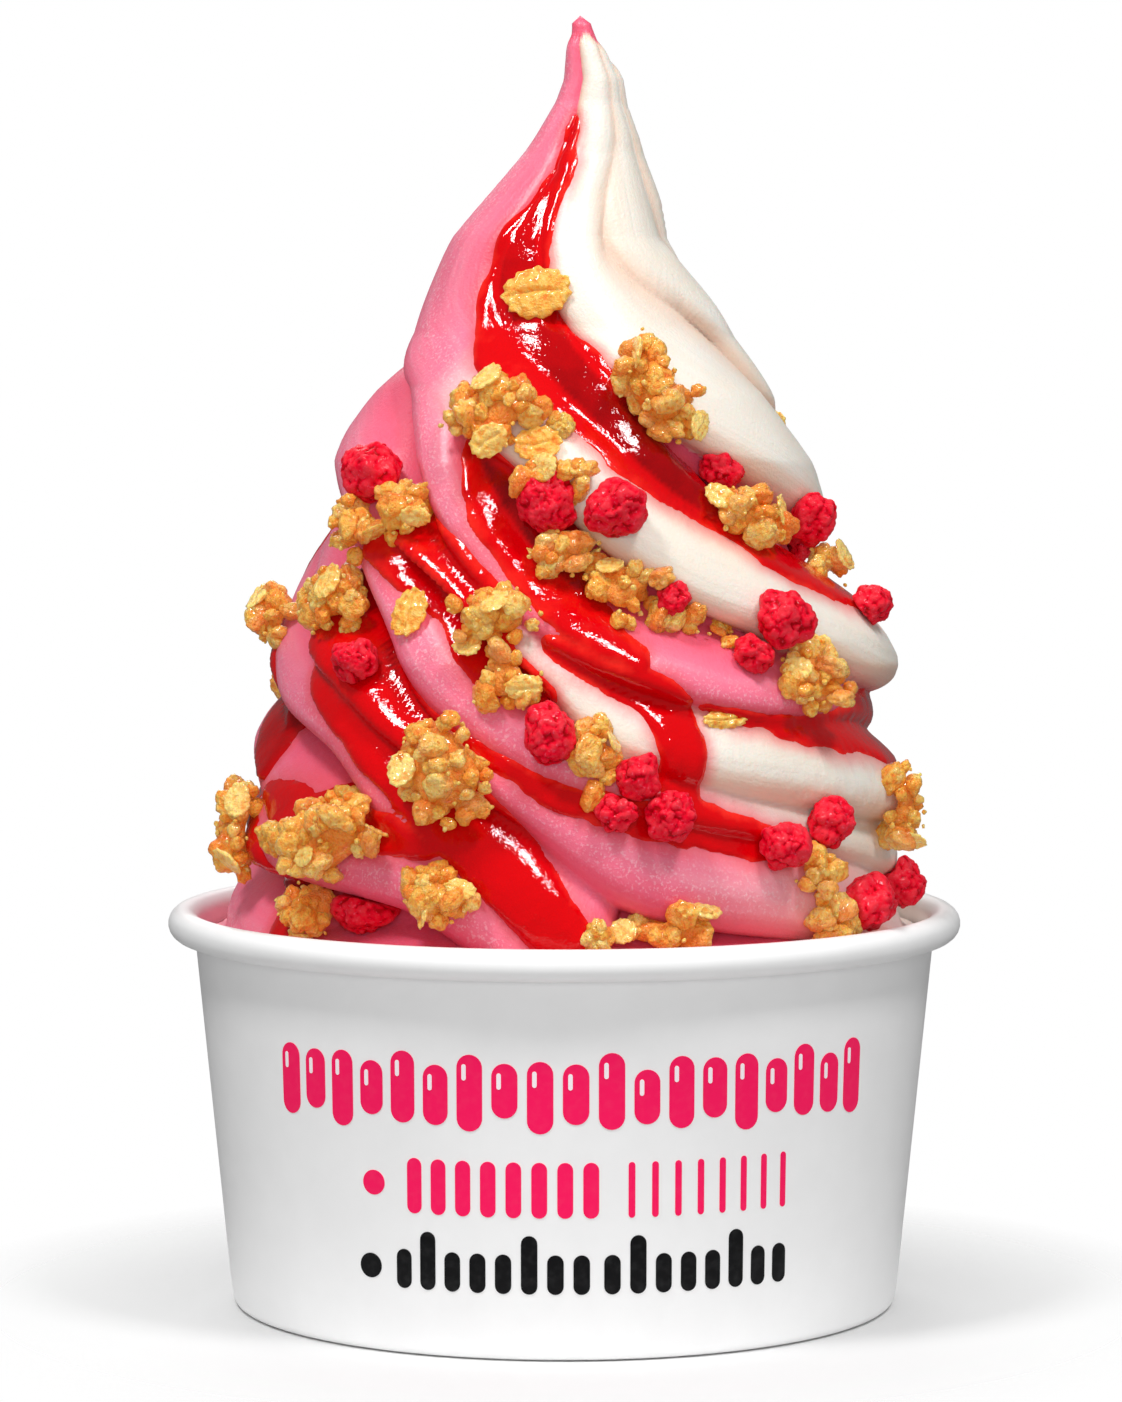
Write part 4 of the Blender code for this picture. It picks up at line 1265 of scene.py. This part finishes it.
class YOGURTCUP_OT_sauce(bpy.types.Operator):
    """Pours the berry sauce down the valleys between the folds"""

    bl_idname = "yogurtcup.sauce"
    bl_label = "Berry Sauce"
    bl_options = {"REGISTER", "UNDO"}

    def execute(self, context):
        look = context.scene.yogurt_sauce
        field = swirl_field(context.scene.yogurt_swirl)
        thick = look.thickness / MM
        edge = look.edge / MM
        inside = field.inside
        rise = 1 - (1 - np.clip(inside / edge, 0.0, 1.0)) ** 2
        level = np.maximum(field.relief, SAUCE_FILL * fold_depth(field.height) * rise)
        base = field.place(field.relief)
        uneven = np.zeros(len(inside))
        near = inside > -SAUCE_DIP
        uneven[near] = waves(base[near], SAUCE_SKIN_WAVES)
        dip = SAUCE_EDGE_SLOPE * np.clip(inside, -SAUCE_DIP_MOST, 0.0)
        skin = rise * (thick + uneven) + dip
        sauce, place = field.add_grid("berry_sauce")
        mesh = sauce.data
        set_points(mesh, field.place(level + skin)[place] * MM)
        # The depth value is the sauce's thickness, plus painted shade: darker at the bottom of the valleys
        # and on the left side
        deep = (level + skin - field.relief) / SAUCE_DEEP + SAUCE_VALLEY_SHADE * (1 - field.crest) ** 2
        deep *= 1 - SAUCE_PALER * smoothstep(*SAUCE_PALER_Z, field.height)
        deep += SAUCE_LEFT_SHADE * smoothstep(0.0, SAUCE_DARK_TURN, SAUCE_DARK_SIDE - field.azimuth)
        add_values(mesh, "depth", np.clip(deep, 0.0, 1.0)[place])
        self.keep(sauce, inside[place] > -SAUCE_DIP)
        back_with_wall(sauce, SAUCE_BACK)
        mesh.shade_smooth()
        glossy_sauce(look).give(sauce)
        finish_piece(sauce, "berry_sauce", "yogurt_swirl")
        return {"FINISHED"}

    def keep(self, obj, wanted):
        """Deletes all but the wanted points, and closes the seam where the turn ends and starts."""
        mesh = obj.data
        mesh.polygons.foreach_set("select", np.zeros(len(mesh.polygons), bool))
        mesh.edges.foreach_set("select", np.zeros(len(mesh.edges), bool))
        mesh.vertices.foreach_set("select", ~wanted)
        bpy.ops.object.mode_set(mode="EDIT")
        bpy.ops.mesh.select_mode(type="VERT")
        bpy.ops.mesh.delete(type="VERT")
        bpy.ops.mesh.select_all(action="SELECT")
        bpy.ops.mesh.delete_loose()
        bpy.ops.object.mode_set(mode="OBJECT")
        weld_and_face_out(obj)


class YOGURTCUP_OT_berries(bpy.types.Operator):
    """Grows small round cells on each freeze-dried berry"""

    bl_idname = "yogurtcup.berries"
    bl_label = "Dried Berries"
    bl_options = {"REGISTER", "UNDO"}

    cell_width = 1.3
    cell_spread = 0.8               # area that a cell takes, against the square of its width
    cell_height = 0.3
    sunk = 0.3                      # how far the skin lies under the solid's, before the cells
    wrinkle_height = 0.16
    wrinkle_shade = 0.2
    dent_depth = 0.6

    def execute(self, context):
        look = context.scene.yogurt_toppings
        rng = np.random.default_rng(look.seed)
        directions, faces, edges = ball_template(5)
        heap = Heap("crease")
        names = nodes_called("berry_")
        for number, name in enumerate(names):
            solid = Solid(name)
            reach = solid.reach(directions, edges, evened=16)
            radius = math.sqrt(solid.area.sum() / (4 * math.pi))
            count = int(4 * math.pi * radius**2 / (self.cell_spread * self.cell_width**2))
            cells = drupelets(directions, rng, count, float(number))
            wrinkle = smooth_noise(directions, size=0.14, seed=50.0 + number)
            dent = smooth_noise(directions, size=0.55, seed=80.0 + number)
            out = reach - self.sunk + self.cell_height * cells
            out += self.wrinkle_height * wrinkle + self.dent_depth * dent
            # The crease value is low in the creases between cells and wrinkles, where the material paints
            # shade
            crease = np.clip(cells + self.wrinkle_shade * wrinkle, 0, 1)
            heap.add(solid.middle + directions * out[:, None], faces, crease=crease)
        berries = heap.to_object("dried_berries")
        berry_skin(look).give(berries)
        finish_piece(berries, "dried_berry", *names)
        return {"FINISHED"}


class YOGURTCUP_OT_granola(bpy.types.Operator):
    """Builds each granola cluster from lumps stuck on a core, and the small grains on it"""

    bl_idname = "yogurtcup.granola"
    bl_label = "Granola"
    bl_options = {"REGISTER", "UNDO"}

    # Radii of the lumps, from the least to the most, and how they sit on a cluster's skin, mm.
    # A tone runs from 0, brown, to 1, pale.
    nugget_kinds = 8
    nugget_tone = (0.3, 0.9)
    nugget_size = (2.0, 2.7)
    nugget_gap, nugget_gap_on_big = 3.6, 4.6
    nugget_sunk = 0.5
    nugget_tilt = 0.4
    lump_kinds = 10
    lump_tone = (0.15, 0.85)
    lump_size = (1.0, 1.6)
    lump_gap = 2.3
    lump_sunk = 0.72
    grain_kinds = 6
    grain_tone = (0.4, 1.0)
    grain_size = (0.25, 0.5)
    grain_gap = 1.8
    grain_lift = (0.0, 0.3)
    flake_kinds = 5
    flake_tone = (0.75, 1.0)
    flake_size = (1.9, 2.8)
    flake_gap = 4.4
    flake_lift = 0.45
    flake_tilt = 0.25
    core_tone = 0.4
    # Painted shade on the core that fills the gaps between the lumps
    core_shade = 0.5
    core_depth = 1.3
    core_least = 0.4
    big_cluster = 170.0             # area of its skin, mm2
    two_flakes = 190.0
    # Painted shade: how deep under a cluster's skin a point gets darkest, and how dark it gets
    crevice_depth = 2.4
    crevice_shade = 0.65
    # Small loose clusters: a ring of lumps, this far from its middle as a share of its half-width
    loose_away = (0.2, 0.62)
    loose_share = 0.24              # of the cluster's size, for each lump
    loose_sizes = (0.8, 1.25)
    loose_lift = (0.2, 1.0)
    loose_tone = (0.2, 0.85)
    loose_least = 5                 # lumps, and one more for each mm of width
    # Whole oats
    oat_lift = 0.1
    oat_tone = 0.5
    oat_flatness = 0.95
    thin_oat_lift = 0.3
    thin_oat_tone = 0.6

    def execute(self, context):
        look = context.scene.yogurt_toppings
        rng = np.random.default_rng(look.seed + 1)
        chunk = ball_template(4)
        lump = ball_template(3)
        grain = ball_template(2)
        chunks = rough_shapes(chunk, rng, self.nugget_kinds)
        lumps = nodule_shapes(lump, rng, self.lump_kinds)
        grains = nodule_shapes(grain, rng, self.grain_kinds)
        flakes = [flake_shape(chunk, seed=3.0 + k) for k in range(self.flake_kinds)]
        tree = tree_of(bpy.data.objects["swirl_yogurt"])
        nuggets = Heap("tone", "shade")
        clusters = Heap("tone", "shade")
        crumbs = Heap("tone", "shade")
        oats = Heap("tone", "shade")
        names = nodes_called("granola_")
        for name in names:
            solid = Solid(name)
            area = solid.area.sum()
            reach = solid.reach(lump[0], lump[2], evened=2)
            deep = np.maximum(reach - self.core_depth, self.core_least * reach)
            core = solid.middle + lump[0] * deep[:, None]
            clusters.add(core, lump[1], tone=self.core_tone, shade=self.core_shade)
            gap = self.nugget_gap_on_big if area > self.big_cluster else self.nugget_gap
            for spot, out in self.open_seats(solid, tree, rng, gap, tries=60):
                size = rng.uniform(*self.nugget_size)
                turned = pick(chunks, rng, size, out, self.nugget_tilt)
                points = spot - out * size * self.nugget_sunk + turned
                shade = self.crevice(points, spot, out)
                nuggets.add(points, chunk[1], tone=rng.uniform(*self.nugget_tone), shade=shade)
            for spot, out in self.open_seats(solid, tree, rng, self.lump_gap, tries=160):
                size = rng.uniform(*self.lump_size)
                points = spot - out * size * self.lump_sunk + pick(lumps, rng, size)
                shade = self.crevice(points, spot, out)
                clusters.add(points, lump[1], tone=rng.uniform(*self.lump_tone), shade=shade)
            for spot, out in self.open_seats(solid, tree, rng, self.grain_gap, tries=40):
                turned = pick(grains, rng, rng.uniform(*self.grain_size))
                points = spot + out * rng.uniform(*self.grain_lift) + turned
                crumbs.add(points, grain[1], tone=rng.uniform(*self.grain_tone), shade=0.0)
            wanted = 2 if area > self.two_flakes else 1
            for spot, out in self.open_seats(solid, tree, rng, self.flake_gap, tries=40)[:wanted]:
                turned = pick(flakes, rng, rng.uniform(*self.flake_size), out, self.flake_tilt)
                points = spot + out * self.flake_lift + turned
                oats.add(points, chunk[1], tone=rng.uniform(*self.flake_tone), shade=0.0)
        self.loose(tree, rng, lump, lumps, crumbs)
        self.whole_oats(tree, rng, oats)
        for heap, title, slot, crisp, stands_for in (
            (nuggets, "granola_nuggets", "granola", 1.0, names),
            (clusters, "granola_clusters", "granola", 1.0, names),
            (crumbs, "granola_crumbs", "granola", 1.0, ()),
            (oats, "oat_flakes", "oat_flake", 0.6, nodes_called("oat_flake_")),
        ):
            obj = heap.to_object(title)
            toasted_granola(look, title + "_finish", crisp).give(obj)
            finish_piece(obj, slot, *stands_for)
        return {"FINISHED"}

    def open_seats(self, solid, tree, rng, spacing, tries):
        """Seats on a solid's skin that aren't against the yogurt."""
        seats = zip(*solid.seats(rng, spacing, tries))
        return [(spot, out) for spot, out in seats if not buried(tree, spot, out)]

    def crevice(self, points, spot, out):
        """Share of the painted crevice shade: more, the further a point lies under the cluster's skin."""
        under = -((points - spot) @ out)
        return np.clip(under / self.crevice_depth, 0.0, 1.0) * self.crevice_shade

    def loose(self, tree, rng, lump, lumps, crumbs):
        """Small loose clusters that lie between the toppings."""
        for azimuth, height, width, tall in LOOSE_BITS:
            spot, out = spot_on(tree, azimuth, height)
            axes = facing(out, rng)
            count = self.loose_least + int(width)
            for k in range(count):
                turn = 2 * math.pi * k / count
                away = rng.uniform(*self.loose_away)
                along = away * width / 2 * math.cos(turn)
                side = axes @ (along, away * tall / 2 * math.sin(turn), 0.0)
                size = self.loose_share * (width + tall) / 2 * rng.uniform(*self.loose_sizes)
                turned = pick(lumps, rng, size)
                middle = spot + side + out * rng.uniform(*self.loose_lift)
                crumbs.add(middle + turned, lump[1], tone=rng.uniform(*self.loose_tone), shade=0.0)

    def whole_oats(self, tree, rng, oats):
        """The loose oat flakes, laid where their solids are."""
        fine = ball_template(5)
        for number, name in enumerate(nodes_called("oat_flake_")):
            solid = Solid(name)
            spread = solid.points - solid.middle
            _, axes = np.linalg.eigh(spread.T @ spread)
            thin, _, along = axes.T
            out = thin * np.sign(thin @ (solid.middle * (1, 1, 0)))
            length = np.ptp(spread @ along) / 2
            shape = flake_shape(fine, seed=20.0 + number) * (length, length, length * self.oat_flatness)
            points = solid.middle + out * self.oat_lift + shape @ axes_from(along, out).T
            oats.add(points, fine[1], tone=self.oat_tone, shade=0.0)
        azimuth, height, width, tall = THIN_OAT
        spot, out = spot_on(tree, azimuth, height)
        shape = flake_shape(fine, seed=40.0) * (width / 2, tall / 1.5, width / 2)
        across = np.cross((0.0, 0.0, 1.0), out)
        points = spot + out * self.thin_oat_lift + shape @ axes_from(across, out).T
        oats.add(points, fine[1], tone=self.thin_oat_tone, shade=0.0)


class YOGURTCUP_OT_stage(bpy.types.Operator):
    """Sets the pale floor, the soft lights and the camera"""

    bl_idname = "yogurtcup.stage"
    bl_label = "Stage"
    bl_options = {"REGISTER", "UNDO"}

    floor_radius = 0.9
    floor_drop = 0.0001
    floor_fade = (0.05, 0.095)      # distances from the middle over which the floor fades out
    glossy_share = 0.35             # of the surround's light, as glossy things mirror it
    aim = (0.0, 0.0, 0.095)
    # Each soft light stands here, with this size, and has this share of the power named
    softboxes = (
        ("key_light", (-0.36, -0.4, 1.0), 0.2, "key", 1.0),
        ("right_light", (0.38, -0.42, 0.96), 0.2, "key", 0.85),
        ("back_light", (-0.1, 0.95, 0.7), 0.5, "back", 1.0),
        ("front_light", (0.0, -1.15, 0.22), 0.4, "front", 1.0),
    )
    camera_place = (-0.00046, -0.729, 0.1375)
    camera_pitch = 0.072
    camera_lens = 133.0

    def execute(self, context):
        look = context.scene.yogurt_stage
        self.floor(look)
        self.surround(context.scene, look)
        for name, place, size, power, share in self.softboxes:
            light = self.softbox(name, place, size, getattr(look, power) * share)
            light.visible_glossy = power != "front"
        self.camera(context.scene)
        context.scene.view_settings.view_transform = "Standard"
        return {"FINISHED"}

    def floor(self, look):
        deselect_all()
        bpy.ops.mesh.primitive_circle_add(
            vertices=96, radius=self.floor_radius, fill_type="NGON", location=(0.0, 0.0, -self.floor_drop),
        )
        floor = take_primitive("floor")
        finish = Finish("pale_floor", Roughness=0.8, Specular_IOR_Level=0.1)
        pale = tuple(look.floor)
        away = finish.add("ShaderNodeVectorMath", operation="LENGTH")
        finish.link(finish.place, away.inputs[0])
        finish.drive(
            Base_Color=finish.ramp(finish.speckle(0.05), (0.3, scaled(pale, 0.99)), (0.7, pale)),
            Alpha=finish.span(away.outputs["Value"], *self.floor_fade, 1.0, 0.0),
        )
        finish.give(floor)

    def surround(self, scene, look):
        """Even white light, dimmer on the object than it looks behind it, and dimmer still where
        glossy things mirror it."""
        world = bpy.data.worlds.new("surround")
        world.use_nodes = True
        nodes = world.node_tree.nodes
        shown = nodes["Background"]
        shown.inputs["Strength"].default_value = 1.0
        felt = nodes.new("ShaderNodeBackground")
        for background in (shown, felt):
            background.inputs["Color"].default_value = (1.0, 1.0, 1.0, 1.0)
        path = nodes.new("ShaderNodeLightPath")
        mixed = nodes.new("ShaderNodeMixShader")
        link = world.node_tree.links.new
        dimmed = nodes.new("ShaderNodeMapRange")
        dimmed.inputs["To Min"].default_value = look.sky
        dimmed.inputs["To Max"].default_value = look.sky * self.glossy_share
        link(path.outputs["Is Glossy Ray"], dimmed.inputs["Value"])
        link(dimmed.outputs["Result"], felt.inputs["Strength"])
        link(path.outputs["Is Camera Ray"], mixed.inputs["Fac"])
        link(felt.outputs["Background"], mixed.inputs[1])
        link(shown.outputs["Background"], mixed.inputs[2])
        link(mixed.outputs["Shader"], nodes["World Output"].inputs["Surface"])
        scene.world = world

    def softbox(self, name, place, size, power):
        deselect_all()
        bpy.ops.object.light_add(type="AREA", location=place)
        light = bpy.context.object
        light.name = name
        light.data.shape = "SQUARE"
        light.data.size = size
        light.data.energy = power
        light.rotation_euler = (Vector(self.aim) - Vector(place)).to_track_quat("-Z", "Y").to_euler()
        return light

    def camera(self, scene):
        deselect_all()
        bpy.ops.object.camera_add(
            location=self.camera_place, rotation=(math.pi / 2 - self.camera_pitch, 0.0, 0.0),
        )
        camera = bpy.context.object
        camera.name = "camera"
        camera.data.lens = self.camera_lens
        camera.data.clip_start = 0.01
        scene.camera = camera


class YOGURTCUP_PT_panel(bpy.types.Panel):
    """Lists the pieces of the yogurt cup"""

    bl_label = "Frozen Yogurt Cup"
    bl_idname = "YOGURTCUP_PT_panel"
    bl_space_type = "VIEW_3D"
    bl_region_type = "UI"
    bl_category = "Yogurt Cup"

    def draw(self, context):
        layout = self.layout
        for group in GROUPS:
            box = layout.box()
            box.label(text=group.title())
            settings = getattr(context.scene, "yogurt_" + group)
            for key in settings.bl_rna.properties.keys():
                if key not in ("rna_type", "name"):
                    box.prop(settings, key)
        for operator in OPERATORS:
            layout.operator(operator.bl_idname)


GROUPS = {
    "tub": YOGURTCUP_PG_tub,
    "swirl": YOGURTCUP_PG_swirl,
    "sauce": YOGURTCUP_PG_sauce,
    "toppings": YOGURTCUP_PG_toppings,
    "stage": YOGURTCUP_PG_stage,
}
OPERATORS = (
    YOGURTCUP_OT_paper_tub,
    YOGURTCUP_OT_tub_print,
    YOGURTCUP_OT_swirl,
    YOGURTCUP_OT_sauce,
    YOGURTCUP_OT_berries,
    YOGURTCUP_OT_granola,
    YOGURTCUP_OT_stage,
)


def register():
    for name, group in GROUPS.items():
        bpy.utils.register_class(group)
        setattr(bpy.types.Scene, "yogurt_" + name, PointerProperty(type=group))
    for operator in OPERATORS:
        bpy.utils.register_class(operator)
    bpy.utils.register_class(YOGURTCUP_PT_panel)


def unregister():
    bpy.utils.unregister_class(YOGURTCUP_PT_panel)
    for operator in reversed(OPERATORS):
        bpy.utils.unregister_class(operator)
    for name, group in reversed(GROUPS.items()):
        delattr(bpy.types.Scene, "yogurt_" + name)
        bpy.utils.unregister_class(group)


def main():
    register()
    for operator in OPERATORS:
        family, name = operator.bl_idname.split(".")
        getattr(getattr(bpy.ops, family), name)()


if __name__ == "__main__":
    main()
